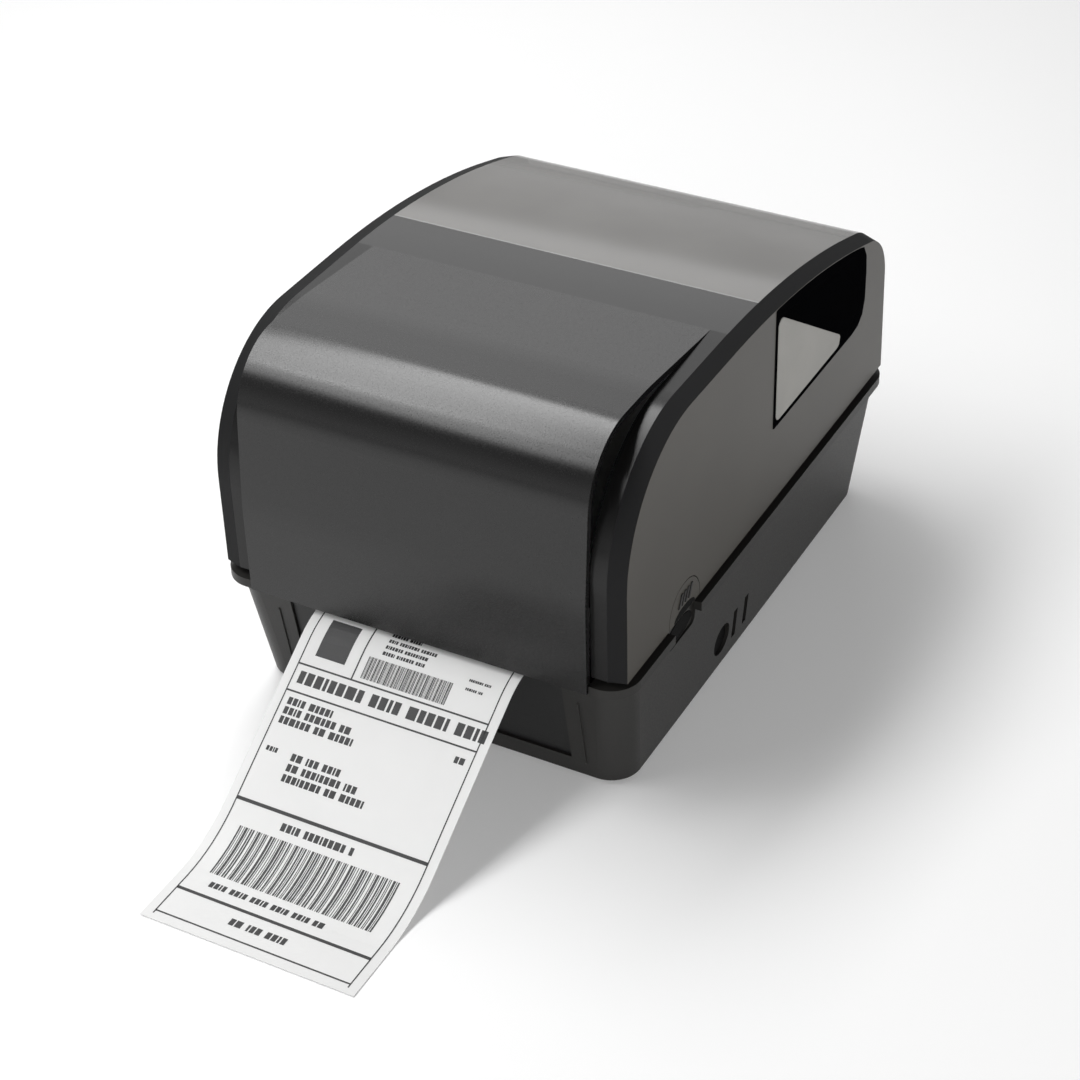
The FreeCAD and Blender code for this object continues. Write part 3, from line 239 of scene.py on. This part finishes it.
def end_panel(name, rim_color, bevel_shade_color, side_color):
    """An end panel: satin rim beside the shell, a bevel painted near-black as painted shade, and olive-grey
    side face.
    """
    mat, tree, shader, where = new_material(name, side_color, 0.33)
    side = tree.nodes.new("ShaderNodeMath")
    side.operation = "ABSOLUTE"
    tree.links.new(axis(tree, where, "X"), side.inputs[0])
    out = side.outputs["Value"]
    paint = [(RIM_START, rim_color), (BEVEL_START, bevel_shade_color), (SIDE_FACE, side_color)]
    gloss = [(RIM_START, RIM_ROUGHNESS), (BEVEL_START, BEVEL_ROUGHNESS), (SIDE_FACE, SIDE_ROUGHNESS)]
    bands = zones(tree, out, RIM_START, SIDE_END, paint)
    tree.links.new(varied(tree, where, bands), shader.inputs["Base Color"])
    tree.links.new(zones(tree, out, RIM_START, SIDE_END, gloss), shader.inputs["Roughness"])
    rough_surface(tree, shader, noise(tree, where, 0.0006), 0.00002)
    shader.inputs["Specular IOR Level"].default_value = PANEL_GLOSS
    return mat


shell_finish = moulded("shell_satin", SHELL_COLOR, SHELL_ROUGHNESS, gloss=SHELL_GLOSS)
# The bevel's near-black colour is painted shade for the dark band along the sloped bevel.
panel_finish = end_panel("panel_satin", SHELL_COLOR, (0.002, 0.002, 0.0025), SIDE_COLOR)
base_finish = moulded("base_satin", (0.02, 0.0192, 0.0178), 0.42, gloss=0.3)
front_finish = moulded("front_panel_satin", (0.012, 0.012, 0.012), 0.42, gloss=0.28)
button_finish = moulded("button_satin", SIDE_COLOR, SIDE_ROUGHNESS, gloss=0.28)
inner_finish = moulded("inner_black", (0.012, 0.012, 0.012), 0.5)
guide_finish = moulded("guide_grey", (0.12, 0.12, 0.125), 0.45)
gear_finish = moulded("gear_ivory", (0.55, 0.52, 0.44), 0.42)
window_finish = bordered_window("window_smoke", SHELL_COLOR, (0.24, 0.24, 0.235),
                                (0.235, 0.23, 0.222), 0.82)
# The side panes and glazing plates are near-black and give no reflection: the dark smoked plastic is real,
# and the shade inside behind it and the missing reflection are painted shade.
smoke_and_shade_pane = smoked("pane_smoke_and_painted_shade", (0.0025, 0.0025, 0.003), 0.5, 0.98, 0.0)
# The sight area's pale, nearly opaque tone is painted light: the brightness that shows through and on the
# clear window.
sight_painted_light = smoked("clear_pane_painted_light", (0.36, 0.35, 0.325), 0.3, 0.97, 0.25)
steel_finish = metal("zinc_steel", (0.55, 0.55, 0.56), 0.32, (1, 30, 30))
motor_finish = metal("motor_can", (0.3, 0.3, 0.31), 0.38, (20, 1, 1))
aluminium_finish = metal("drawn_aluminium", (0.72, 0.73, 0.74), 0.34, (0.05, 1, 1))
brass_finish = metal("sintered_brass", (0.58, 0.42, 0.2), 0.4)
head_finish = moulded("head_glaze", (0.34, 0.27, 0.2), 0.22)
rubber_finish = moulded("ground_rubber", (0.018, 0.018, 0.018), 0.72, depth=0.00004)
board_finish = moulded("board_laminate", (0.012, 0.11, 0.045), 0.36)
label_finish = paper("label_paper", LABEL_COLOR)
roll_finish = wound("label_roll_paper", LABEL_COLOR, (0.58, 0.56, 0.51))
core_finish = paper("core_card", (0.42, 0.31, 0.2))
ink_finish = moulded("print_black", (0.012, 0.012, 0.013), 0.5)
# A near-black, dull finish that paints shade into hollows: the button's dimple, the scoop, and the recess
# and slots in the base.
painted_shade_finish = moulded("recess_painted_shade", (0.003, 0.003, 0.003), 0.7, gloss=0.1)

FINISHES = {
    "front_shell": shell_finish,
    "right_end_panel": panel_finish, "left_end_panel": panel_finish,
    "right_side_pane": smoke_and_shade_pane, "left_side_pane": smoke_and_shade_pane,
    "top_window": window_finish, "rear_panel": base_finish, "cover_rib": inner_finish,
    "base_housing": base_finish, "front_panel": front_finish, "tear_bar": steel_finish,
    "rubber_feet": rubber_finish, "floor_screws": steel_finish,
    "right_release_button": button_finish, "left_release_button": button_finish,
    "hinge_knuckles": inner_finish, "hinge_brackets": inner_finish, "hinge_pins": steel_finish,
    "platen_gear": gear_finish, "idler_gear": gear_finish, "motor_pinion": brass_finish,
    "gear_plate": steel_finish, "bearing_plate": steel_finish, "platen_bushes": brass_finish,
    "platen_shaft": steel_finish, "platen_roller": rubber_finish, "stepper_motor": motor_finish,
    "motor_shaft": steel_finish, "idler_pin": steel_finish, "print_head": head_finish,
    "heat_sink": aluminium_finish, "head_bracket": steel_finish, "label_web": label_finish,
    "label_roll": roll_finish, "roll_core": core_finish,
    "right_media_guide": guide_finish, "left_media_guide": guide_finish,
    "right_guide_rack": gear_finish, "left_guide_rack": gear_finish, "guide_pinion": gear_finish,
    "guide_rail": inner_finish, "sensor_bar": inner_finish, "gap_sensor": inner_finish,
    "web_guide_rod": steel_finish, "main_board": board_finish, "board_standoffs": brass_finish,
    "power_jack": inner_finish, "data_port": steel_finish, "switch_frame": inner_finish,
    "power_rocker": inner_finish,
}
for node, finish in FINISHES.items():
    slots = NODES[node].data.materials
    slots.clear()
    slots.append(finish)


def soften(node, width):
    """Round a node's sharp edges a little, as a mould does, without changing its mesh."""
    bevel = NODES[node].modifiers.new("soft_edges", "BEVEL")
    bevel.width = width
    bevel.segments = 2
    bevel.limit_method = "ANGLE"
    bevel.angle_limit = math.radians(40)
    bevel.harden_normals = False


# Pieces made here

def finish_piece(name, builder, material, body):
    """Turn a bmesh into a piece that rides on a body."""
    mesh = bpy.data.meshes.new(name)
    builder.to_mesh(mesh)
    builder.free()
    obj = bpy.data.objects.new(name, mesh)
    bpy.context.collection.objects.link(obj)
    mesh.materials.append(material)
    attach(obj, body)


# The web's path outside the printer: a level run, a bend at the slot, a slope, and a bend to the table
EXIT_RADIUS = 0.040
LANDING_RADIUS = 0.070
WEB_TOP = 0.0607
WEB_LOW = 0.0007
WEB_EXIT = -0.144
WEB_LANDING = -0.238
WEB_END = -0.286
SLOPE = math.atan2(WEB_TOP - WEB_LOW, WEB_EXIT - WEB_LANDING)
EXIT_TRIM = EXIT_RADIUS * math.tan(SLOPE / 2)
LANDING_TRIM = LANDING_RADIUS * math.tan(SLOPE / 2)
RUN = (WEB_EXIT - WEB_LANDING) / math.cos(SLOPE) - EXIT_TRIM - LANDING_TRIM
EXIT_ARC = EXIT_RADIUS * SLOPE
LANDING_ARC = LANDING_RADIUS * SLOPE
TAIL = WEB_LANDING - LANDING_TRIM - WEB_END
WEB_SHOWN = EXIT_ARC + RUN + LANDING_ARC + TAIL


def web_point(along, lift):
    """A place lifted off the web, measured along it from where it starts to bend down."""
    if along < EXIT_ARC:
        angle = along / EXIT_RADIUS
        y = WEB_EXIT + EXIT_TRIM - EXIT_RADIUS * math.sin(angle)
        z = WEB_TOP - EXIT_RADIUS * (1 - math.cos(angle))
    elif along < EXIT_ARC + RUN:
        angle = SLOPE
        rest = along - EXIT_ARC
        y = WEB_EXIT - EXIT_TRIM * math.cos(SLOPE) - rest * math.cos(SLOPE)
        z = WEB_TOP - EXIT_TRIM * math.sin(SLOPE) - rest * math.sin(SLOPE)
    elif along < EXIT_ARC + RUN + LANDING_ARC:
        angle = SLOPE - (along - EXIT_ARC - RUN) / LANDING_RADIUS
        y = WEB_LANDING - LANDING_TRIM + LANDING_RADIUS * math.sin(angle)
        z = WEB_LOW + LANDING_RADIUS * (1 - math.cos(angle))
    else:
        angle = 0
        y = WEB_LANDING - LANDING_TRIM - (along - EXIT_ARC - RUN - LANDING_ARC)
        z = WEB_LOW
    return y - lift * math.sin(angle), z + lift * math.cos(angle)


def add_patch(builder, left, right, start, end, lift, step=0.004):
    """A thin patch on the web, bent along it; start and end run down the web."""
    count = max(1, math.ceil((end - start) / step))
    rows = []
    for i in range(count + 1):
        y, z = web_point(start + (end - start) * i / count, lift)
        rows.append([builder.verts.new((x, y, z)) for x in (left, right)])
    for one, two in zip(rows, rows[1:]):
        builder.faces.new((one[0], one[1], two[1], two[0]))


# The print on the web: plain rules, rows of small blocks, and bars
INK_LIFT = 0.00006
PRINT_LEFT, PRINT_RIGHT = -0.0475, 0.0475
PRINT_TOP, PRINT_END_GAP = 0.006, 0.003
PRINT_LENGTH = WEB_SHOWN - PRINT_TOP - PRINT_END_GAP
BLOCK_WIDTHS = (0.62, 0.5, 0.62, 0.28, 0.62, 0.8, 0.55)
BLOCK_GAP, GROUP_GAP = 0.16, 0.5
BARS = (2, 1, 1, 3, 1, 2, 2, 1, 3, 1, 1, 2, 1, 3, 2, 1, 1,
        1, 3, 2, 1, 2, 1, 1, 3, 1, 2, 1, 2, 1, 1, 3, 1, 2)
SPACES = (1, 2, 1, 1, 2, 1, 3, 1, 1, 2, 1, 1, 3, 1, 1, 2, 2,
          1, 1, 1, 2, 1, 3, 1, 1, 2, 1, 1, 2, 1, 2, 1, 1, 1)
FRAME_HALF = 0.0003
THICK_RULE = 0.0016


def make_print():
    """All the ink on the web, as one piece."""
    ink = bmesh.new()

    def block(x_low, x_high, start, end):
        """A patch of ink; start and end are shares of the print's length."""
        places = (PRINT_TOP + start * PRINT_LENGTH, PRINT_TOP + end * PRINT_LENGTH)
        add_patch(ink, x_low, x_high, *places, INK_LIFT)

    def rule(place, thick=0.0008):
        block(PRINT_LEFT, PRINT_RIGHT, place, place + thick / PRINT_LENGTH)

    def small_blocks(x, place, counts, height):
        """A row of small blocks, in groups of so many."""
        for count in counts:
            for i in range(count):
                width = BLOCK_WIDTHS[(i * 3 + count) % len(BLOCK_WIDTHS)] * height
                block(x, x + width, place, place + height / PRINT_LENGTH)
                x += width + height * BLOCK_GAP
            x += height * GROUP_GAP

    def bar_code(x_low, x_high, start, end, repeats):
        unit = (x_high - x_low) / (repeats * (sum(BARS) + sum(SPACES)))
        x = x_low
        for _ in range(repeats):
            for bar, space in zip(BARS, SPACES):
                block(x, x + bar * unit, start, end)
                x += (bar + space) * unit

    for x in (PRINT_LEFT, PRINT_RIGHT):
        block(x - FRAME_HALF, x + FRAME_HALF, 0, 1)
    block(PRINT_LEFT + 0.006, PRINT_LEFT + 0.021, 0.03, 0.145)
    block(PRINT_LEFT + 0.0265, PRINT_LEFT + 0.0272, 0, 0.175)
    for place, counts in ((0.014, (6, 5)), (0.034, (4, 8, 6)), (0.054, (7, 9)), (0.074, (5, 7, 4))):
        small_blocks(-0.012, place, counts, 0.0017)
    bar_code(-0.017, 0.025, 0.1, 0.165, 2)
    for place, counts in ((0.074, (8, 4)), (0.1, (6, 3))):
        small_blocks(0.031, place, counts, 0.0012)
    rule(0.175)
    small_blocks(PRINT_LEFT + 0.003, 0.196, (8, 4, 5, 4), 0.0058)
    rule(0.255)
    for i, counts in enumerate(((4, 5), (4, 6, 2), (6, 2, 5))):
        small_blocks(PRINT_LEFT + 0.003, 0.275 + 0.028 * i, counts, 0.0034)
    for i, counts in enumerate(((2, 3, 4), (2, 8, 3), (8, 2, 5))):
        small_blocks(PRINT_LEFT + 0.016, 0.42 + 0.03 * i, counts, 0.0034)
    small_blocks(PRINT_LEFT + 0.003, 0.42, (4,), 0.0022)
    small_blocks(PRINT_RIGHT - 0.008, 0.285, (2,), 0.003)
    rule(0.575, THICK_RULE)
    small_blocks(-0.022, 0.605, (4, 8, 1), 0.0036)
    bar_code(-0.04, 0.04, 0.65, 0.81, 2)
    small_blocks(-0.036, 0.835, (4, 4, 4, 4, 4, 2), 0.0032)
    rule(0.885, THICK_RULE)
    small_blocks(-0.016, 0.925, (2, 3, 4), 0.0038)
    rule(0.985)
    finish_piece("label_print", ink, ink_finish, "base")


make_print()


# Small pieces on the cover and base

def round_corner(before, here, after, radius, steps):
    """The points of an arc in place of a corner."""
    before, here, after = Vector(before), Vector(here), Vector(after)
    one, two = (before - here).normalized(), (after - here).normalized()
    trim = radius / math.tan(one.angle(two) / 2)
    start, end = here + one * trim, here + two * trim
    centre = here + (one + two).normalized() * math.hypot(radius, trim)
    return [centre + (start.lerp(end, k / steps) - centre).normalized() * radius for k in range(steps + 1)]


def rounded(points, radius, steps=5):
    """Round the corners of a flat outline."""
    result = []
    for i, point in enumerate(points):
        result += round_corner(points[i - 1], point, points[(i + 1) % len(points)], radius, steps)
    return result


def bent_path(points, steps=10):
    """An open path in Y and Z whose inner corners have radii."""
    result = [Vector(points[0])]
    for before, here, after in zip(points, points[1:], points[2:]):
        result += round_corner(before[:2], here[:2], after[:2], here[2], steps)
    return result + [Vector(points[-1])]


PLATE_SOFT = 0.0002


def add_plate(builder, outline, low, high):
    """A plate on a side: an outline in Y and Z, between two places in X, with a softened front edge."""
    middle = sum(outline, Vector((0, 0))) / len(outline)
    layers = []
    for x, inset in ((low, 0), (high - math.copysign(PLATE_SOFT, high), 0), (high, PLATE_SOFT)):
        layers.append([builder.verts.new((x, *(p + (middle - p).normalized() * inset))) for p in outline])
    count = len(outline)
    for one, two in zip(layers, layers[1:]):
        for i in range(count):
            j = (i + 1) % count
            builder.faces.new((one[i], one[j], two[j], two[i]))
    builder.faces.new(layers[-1])
    builder.faces.new(layers[0][::-1])
    bmesh.ops.recalc_face_normals(builder, faces=builder.faces)


def oval(middle, half, steps=28):
    """An oval outline."""
    return [middle + Vector((half[0] * math.cos(t), half[1] * math.sin(t)))
            for t in (2 * math.pi * k / steps for k in range(steps))]


# Details on each side: places in Y and Z, and in X the back and face of each plate
SIGHT_CORNERS = [(0.0108, 0.1128), (0.0925, 0.1132), (0.0108, 0.1685)]
# The glazing outline reaches past the pane towards the rear, where its near-black is painted shade.
GLAZING_OUTLINE = [(0.0085, 0.1105), (0.0095, 0.1100), (0.1000, 0.1100), (0.1075, 0.1110), (0.1125, 0.1150),
                   (0.1148, 0.1220), (0.1150, 0.1360), (0.1140, 0.1460), (0.1105, 0.1520), (0.1050, 0.1540),
                   (0.0960, 0.1566), (0.0863, 0.1591), (0.0756, 0.1616), (0.0649, 0.1639), (0.0541, 0.1659),
                   (0.0433, 0.1677), (0.0324, 0.1693), (0.0216, 0.1706), (0.0106, 0.1717), (0.0088, 0.1716),
                   (0.0085, 0.1712)]
GLAZING_BACK, GLAZING_FACE = 0.0995, 0.10025
SIGHT_RADIUS = 0.0035
SIGHT_BACK, SIGHT_FACE = 0.0997, 0.1005
GRIP_COUNT = 4
GRIP_START, GRIP_PITCH = -0.0885, 0.0032
GRIP_WIDTH, GRIP_LEAN = 0.0014, 0.003
GRIP_LOW, GRIP_HIGH = 0.0752, 0.0815
GRIP_BACK, GRIP_FACE = 0.0998, 0.1005
DIMPLE_MIDDLE = (-0.082, 0.0697)
DIMPLE_HALF = (0.0105, 0.0042)
DIMPLE_STEPS = 16
DIMPLE_BACK, DIMPLE_FACE = 0.0995, 0.10008
SHADE_PLATE_SUNK, SHADE_PLATE_PROUD = 0.0004, 0.0003
RECESS_FLOOR = 0.0931
RECESS_MIDDLE = Vector((-0.032, 0.018))
RECESS_RADIUS = 0.0078
VENT_MIDDLES = (-0.018, -0.006)
VENT_HALF, VENT_LOW, VENT_HIGH = 0.0019, 0.0102, 0.0258
VENT_RADIUS = 0.0004
SCOOP_FLOOR = 0.0975
SCOOP_MIDDLE = Vector((-0.082, 0.0605))
SCOOP_HALF = (0.0118, 0.0048)


def make_side_details(sign, hand):
    """The glazing over a pane, partly painted shade, its pale sight area of painted light, and the details
    of a button and the scoop below it, whose dark plates are painted shade.
    """
    glazing = bmesh.new()
    add_plate(glazing, [Vector(p) for p in GLAZING_OUTLINE], sign * GLAZING_BACK, sign * GLAZING_FACE)
    finish_piece(f"{hand}_pane_glazing_and_shade", glazing, smoke_and_shade_pane, "cover")
    # The pale sight area is painted light on a clear window.
    sight = bmesh.new()
    add_plate(sight, rounded(SIGHT_CORNERS, SIGHT_RADIUS), sign * SIGHT_BACK, sign * SIGHT_FACE)
    finish_piece(f"{hand}_sight_area", sight, sight_painted_light, "cover")
    grips = bmesh.new()
    for i in range(GRIP_COUNT):
        y = GRIP_START + i * GRIP_PITCH
        bar = [(y, GRIP_LOW), (y + GRIP_WIDTH, GRIP_LOW),
               (y + GRIP_WIDTH + GRIP_LEAN, GRIP_HIGH), (y + GRIP_LEAN, GRIP_HIGH)]
        add_plate(grips, [Vector(p) for p in bar], sign * GRIP_BACK, sign * GRIP_FACE)
    finish_piece(f"{hand}_button_grips", grips, inner_finish, f"{hand}_button")
    # The dark half-oval on the button is painted shade for the dimple's hollow.
    dimple = bmesh.new()
    (y, z), (half_length, height) = DIMPLE_MIDDLE, DIMPLE_HALF
    arc = [Vector((y + half_length * math.cos(t), z + height * math.sin(t)))
           for t in (math.pi * k / DIMPLE_STEPS for k in range(DIMPLE_STEPS + 1))]
    add_plate(dimple, arc, sign * DIMPLE_BACK, sign * DIMPLE_FACE)
    finish_piece(f"{hand}_button_dimple_shade", dimple, painted_shade_finish, f"{hand}_button")
    # The dark oval in the scoop is painted shade for its hollow.
    scoop = bmesh.new()
    add_plate(scoop, oval(SCOOP_MIDDLE, SCOOP_HALF),
              sign * (SCOOP_FLOOR - SHADE_PLATE_SUNK), sign * (SCOOP_FLOOR + SHADE_PLATE_PROUD))
    finish_piece(f"{hand}_scoop_shade_plate", scoop, painted_shade_finish, "base")


# A dark lining on each side under the proud front shell, from its wall down past the end panel's rim
LINING_IN, LINING_OUT = 0.0730, 0.0752
SHELL_INNER = [(-0.1410, 0.0760), (-0.1410, 0.1070, 0.1475), (-0.1348, 0.1790, 0.0305),
               (-0.0850, 0.1790, 0.1475), (-0.0660, 0.1774)]
RIM_UNDER = [(-0.1370, 0.0760), (-0.1370, 0.1740, 0.0600), (-0.0660, 0.1740)]


def make_shell_lining(sign, hand):
    """A plate that closes the gap under the front shell."""
    lining = bmesh.new()
    outline = bent_path(SHELL_INNER) + bent_path(RIM_UNDER)[::-1]
    add_plate(lining, outline, sign * LINING_IN, sign * LINING_OUT)
    finish_piece(f"{hand}_shell_lining", lining, inner_finish, "cover")


for side_sign, side_hand in ((1, "right"), (-1, "left")):
    make_side_details(side_sign, side_hand)
    make_shell_lining(side_sign, side_hand)


def make_recess_shade_plates():
    """Near-black plates on the floors of the recess and slots in the base's right side: painted shade in the
    hollows.
    """
    shade_plates = bmesh.new()
    low, high = RECESS_FLOOR - SHADE_PLATE_SUNK, RECESS_FLOOR + SHADE_PLATE_PROUD
    add_plate(shade_plates, oval(RECESS_MIDDLE, (RECESS_RADIUS, RECESS_RADIUS)), low, high)
    for middle in VENT_MIDDLES:
        front, rear = middle - VENT_HALF, middle + VENT_HALF
        slot = [(front, VENT_LOW), (rear, VENT_LOW), (rear, VENT_HIGH), (front, VENT_HIGH)]
        add_plate(shade_plates, rounded(slot, VENT_RADIUS), low, high)
    finish_piece("recess_shade_plates", shade_plates, painted_shade_finish, "base")


make_recess_shade_plates()


# A rib on each side of the front panel, standing on the base's sloping front wall
RIB_PLACE = 0.0755
RIB_HALF, RIB_PROUD = 0.0006, 0.0006
RIB_LOW, RIB_HIGH = 0.010, 0.050
RIB_ROOT, RIB_END = 0.0004, 0.001
# The wall's bottom and top, each a height and its place in Y
FRONT_WALL = ((0.0025, -0.1275), (0.062, -0.138))


def front_wall(z):
    """How far forward the base's front wall is at a height."""
    low, high = FRONT_WALL
    return high[1] + (low[1] - high[1]) * (high[0] - z) / (high[0] - low[0])


def make_front_ribs():
    """Both ribs, tapered at their ends and towards the crest."""
    ribs = bmesh.new()
    for sign in (1, -1):
        rows = []
        for z in (RIB_LOW, RIB_LOW + RIB_END, RIB_HIGH - RIB_END, RIB_HIGH):
            root = front_wall(z) + RIB_ROOT
            crest = front_wall(z) - (RIB_PROUD if RIB_LOW < z < RIB_HIGH else 0)
            places = ((-RIB_HALF, root), (-RIB_HALF * 0.5, crest), (RIB_HALF * 0.5, crest), (RIB_HALF, root))
            rows.append([ribs.verts.new((sign * RIB_PLACE + x, y, z)) for x, y in places])
        for one, two in zip(rows, rows[1:]):
            for i in range(4):
                j = (i + 1) % 4
                ribs.faces.new((one[i], one[j], two[j], two[i]))
        ribs.faces.new(rows[0][::-1])
        ribs.faces.new(rows[-1])
    bmesh.ops.recalc_face_normals(ribs, faces=ribs.faces)
    finish_piece("front_ribs", ribs, base_finish, "base")


make_front_ribs()

SOFT_EDGE = 0.0006
for node in ("front_shell", "right_end_panel", "left_end_panel", "base_housing", "front_panel",
             "right_release_button", "left_release_button", "top_window", "rear_panel"):
    soften(node, SOFT_EDGE)


# Camera, floor and light

CAMERA_PLACE = Vector((0.4728, -0.8742, 0.7399))
YAW, PITCH, ROLL = math.radians(29.23), math.radians(35.78), math.radians(-1.8)
SENSOR = 36.0
FOCAL_PIXELS, FRAME_PIXELS = 2546.8, 1080
back = Vector((math.sin(YAW) * math.cos(PITCH), -math.cos(YAW) * math.cos(PITCH), math.sin(PITCH)))
across = Vector((math.cos(YAW), math.sin(YAW), 0))
up = back.cross(across)
camera_x = math.cos(ROLL) * across + math.sin(ROLL) * up
camera_y = -math.sin(ROLL) * across + math.cos(ROLL) * up
camera_data = bpy.data.cameras.new("camera")
camera_data.sensor_width = SENSOR
camera_data.lens = SENSOR * FOCAL_PIXELS / FRAME_PIXELS
camera = bpy.data.objects.new("camera", camera_data)
camera.matrix_world = Matrix((camera_x, camera_y, back)).transposed().to_4x4()
camera.location = CAMERA_PLACE
bpy.context.collection.objects.link(camera)
scene = bpy.context.scene
scene.camera = camera
scene.view_settings.view_transform = "Standard"

FLOOR_HALF = 12.0
FLOOR_COLOR = (0.84, 0.84, 0.84)
FLOOR_GLOW = 0.17
floor_mesh = bpy.data.meshes.new("floor")
floor_mesh.from_pydata([(-FLOOR_HALF, -FLOOR_HALF, 0), (FLOOR_HALF, -FLOOR_HALF, 0),
                        (FLOOR_HALF, FLOOR_HALF, 0), (-FLOOR_HALF, FLOOR_HALF, 0)], [], [(0, 1, 2, 3)])
floor = bpy.data.objects.new("floor", floor_mesh)
bpy.context.collection.objects.link(floor)
floor_mat, floor_tree, floor_shader, floor_where = new_material("floor_pale", FLOOR_COLOR, 0.7)
floor_tone = shade(floor_tree, noise(floor_tree, floor_where, 0.6), FLOOR_COLOR, 0.01)
floor_tree.links.new(floor_tone, floor_shader.inputs["Base Color"])
# The floor glows a little to the camera and in reflections, so that it comes out white and keeps the shadow
floor_path = floor_tree.nodes.new("ShaderNodeLightPath")
floor_seen = floor_tree.nodes.new("ShaderNodeMath")
floor_seen.operation = "MAXIMUM"
floor_tree.links.new(floor_path.outputs["Is Camera Ray"], floor_seen.inputs[0])
floor_tree.links.new(floor_path.outputs["Is Glossy Ray"], floor_seen.inputs[1])
floor_through = floor_tree.nodes.new("ShaderNodeMath")
floor_through.operation = "MAXIMUM"
floor_tree.links.new(floor_seen.outputs["Value"], floor_through.inputs[0])
floor_tree.links.new(floor_path.outputs["Is Transmission Ray"], floor_through.inputs[1])
floor_glow = floor_tree.nodes.new("ShaderNodeMath")
floor_glow.operation = "MULTIPLY"
floor_glow.inputs[1].default_value = FLOOR_GLOW
floor_tree.links.new(floor_through.outputs["Value"], floor_glow.inputs[0])
floor_shader.inputs["Emission Color"].default_value = (1, 1, 1, 1)
floor_tree.links.new(floor_glow.outputs["Value"], floor_shader.inputs["Emission Strength"])
floor_mesh.materials.append(floor_mat)


def area_light(name, place, target, width, height, power):
    """A soft lamp that faces a target."""
    data = bpy.data.lights.new(name, "AREA")
    data.shape = "RECTANGLE"
    data.size = width
    data.size_y = height
    data.energy = power
    light = bpy.data.objects.new(name, data)
    light.location = place
    light.rotation_euler = (Vector(place) - Vector(target)).to_track_quat("Z", "Y").to_euler()
    bpy.context.collection.objects.link(light)


area_light("overhead_left", (-0.555, -0.02, 1.25), (0, -0.1, 0.17), 1.4, 0.44, 15.8)
area_light("front_left", (-0.62, -0.85, 1.15), (0, -0.12, 0.16), 0.5, 0.4, 3)
area_light("rear_left", (-0.78, 1.22, 1.1), (0, 0.03, 0.17), 1.0, 1.0, 4)
area_light("front_right", (0.95, -1.15, 0.5), (0, -0.1, 0.1), 0.7, 0.7, 6.5)

# The sky is pale at the horizon and darker above, which gives the top of the part its depth
SKY_RISE, SKY_HORIZON, SKY_ABOVE = 0.5, 0.7, 0.12
world = bpy.data.worlds.new("studio")
scene.world = world
world.use_nodes = True
sky = world.node_tree
background = sky.nodes["Background"]
background.inputs["Color"].default_value = (1, 1, 1, 1)
sky_coords = sky.nodes.new("ShaderNodeTexCoord")
sky_split = sky.nodes.new("ShaderNodeSeparateXYZ")
sky.links.new(sky_coords.outputs["Generated"], sky_split.inputs["Vector"])
sky_rise = sky.nodes.new("ShaderNodeMapRange")
sky_rise.inputs["From Min"].default_value = 0
sky_rise.inputs["From Max"].default_value = SKY_RISE
sky_rise.inputs["To Min"].default_value = SKY_HORIZON
sky_rise.inputs["To Max"].default_value = SKY_ABOVE
sky.links.new(sky_split.outputs["Z"], sky_rise.inputs["Value"])
sky.links.new(sky_rise.outputs["Result"], background.inputs["Strength"])
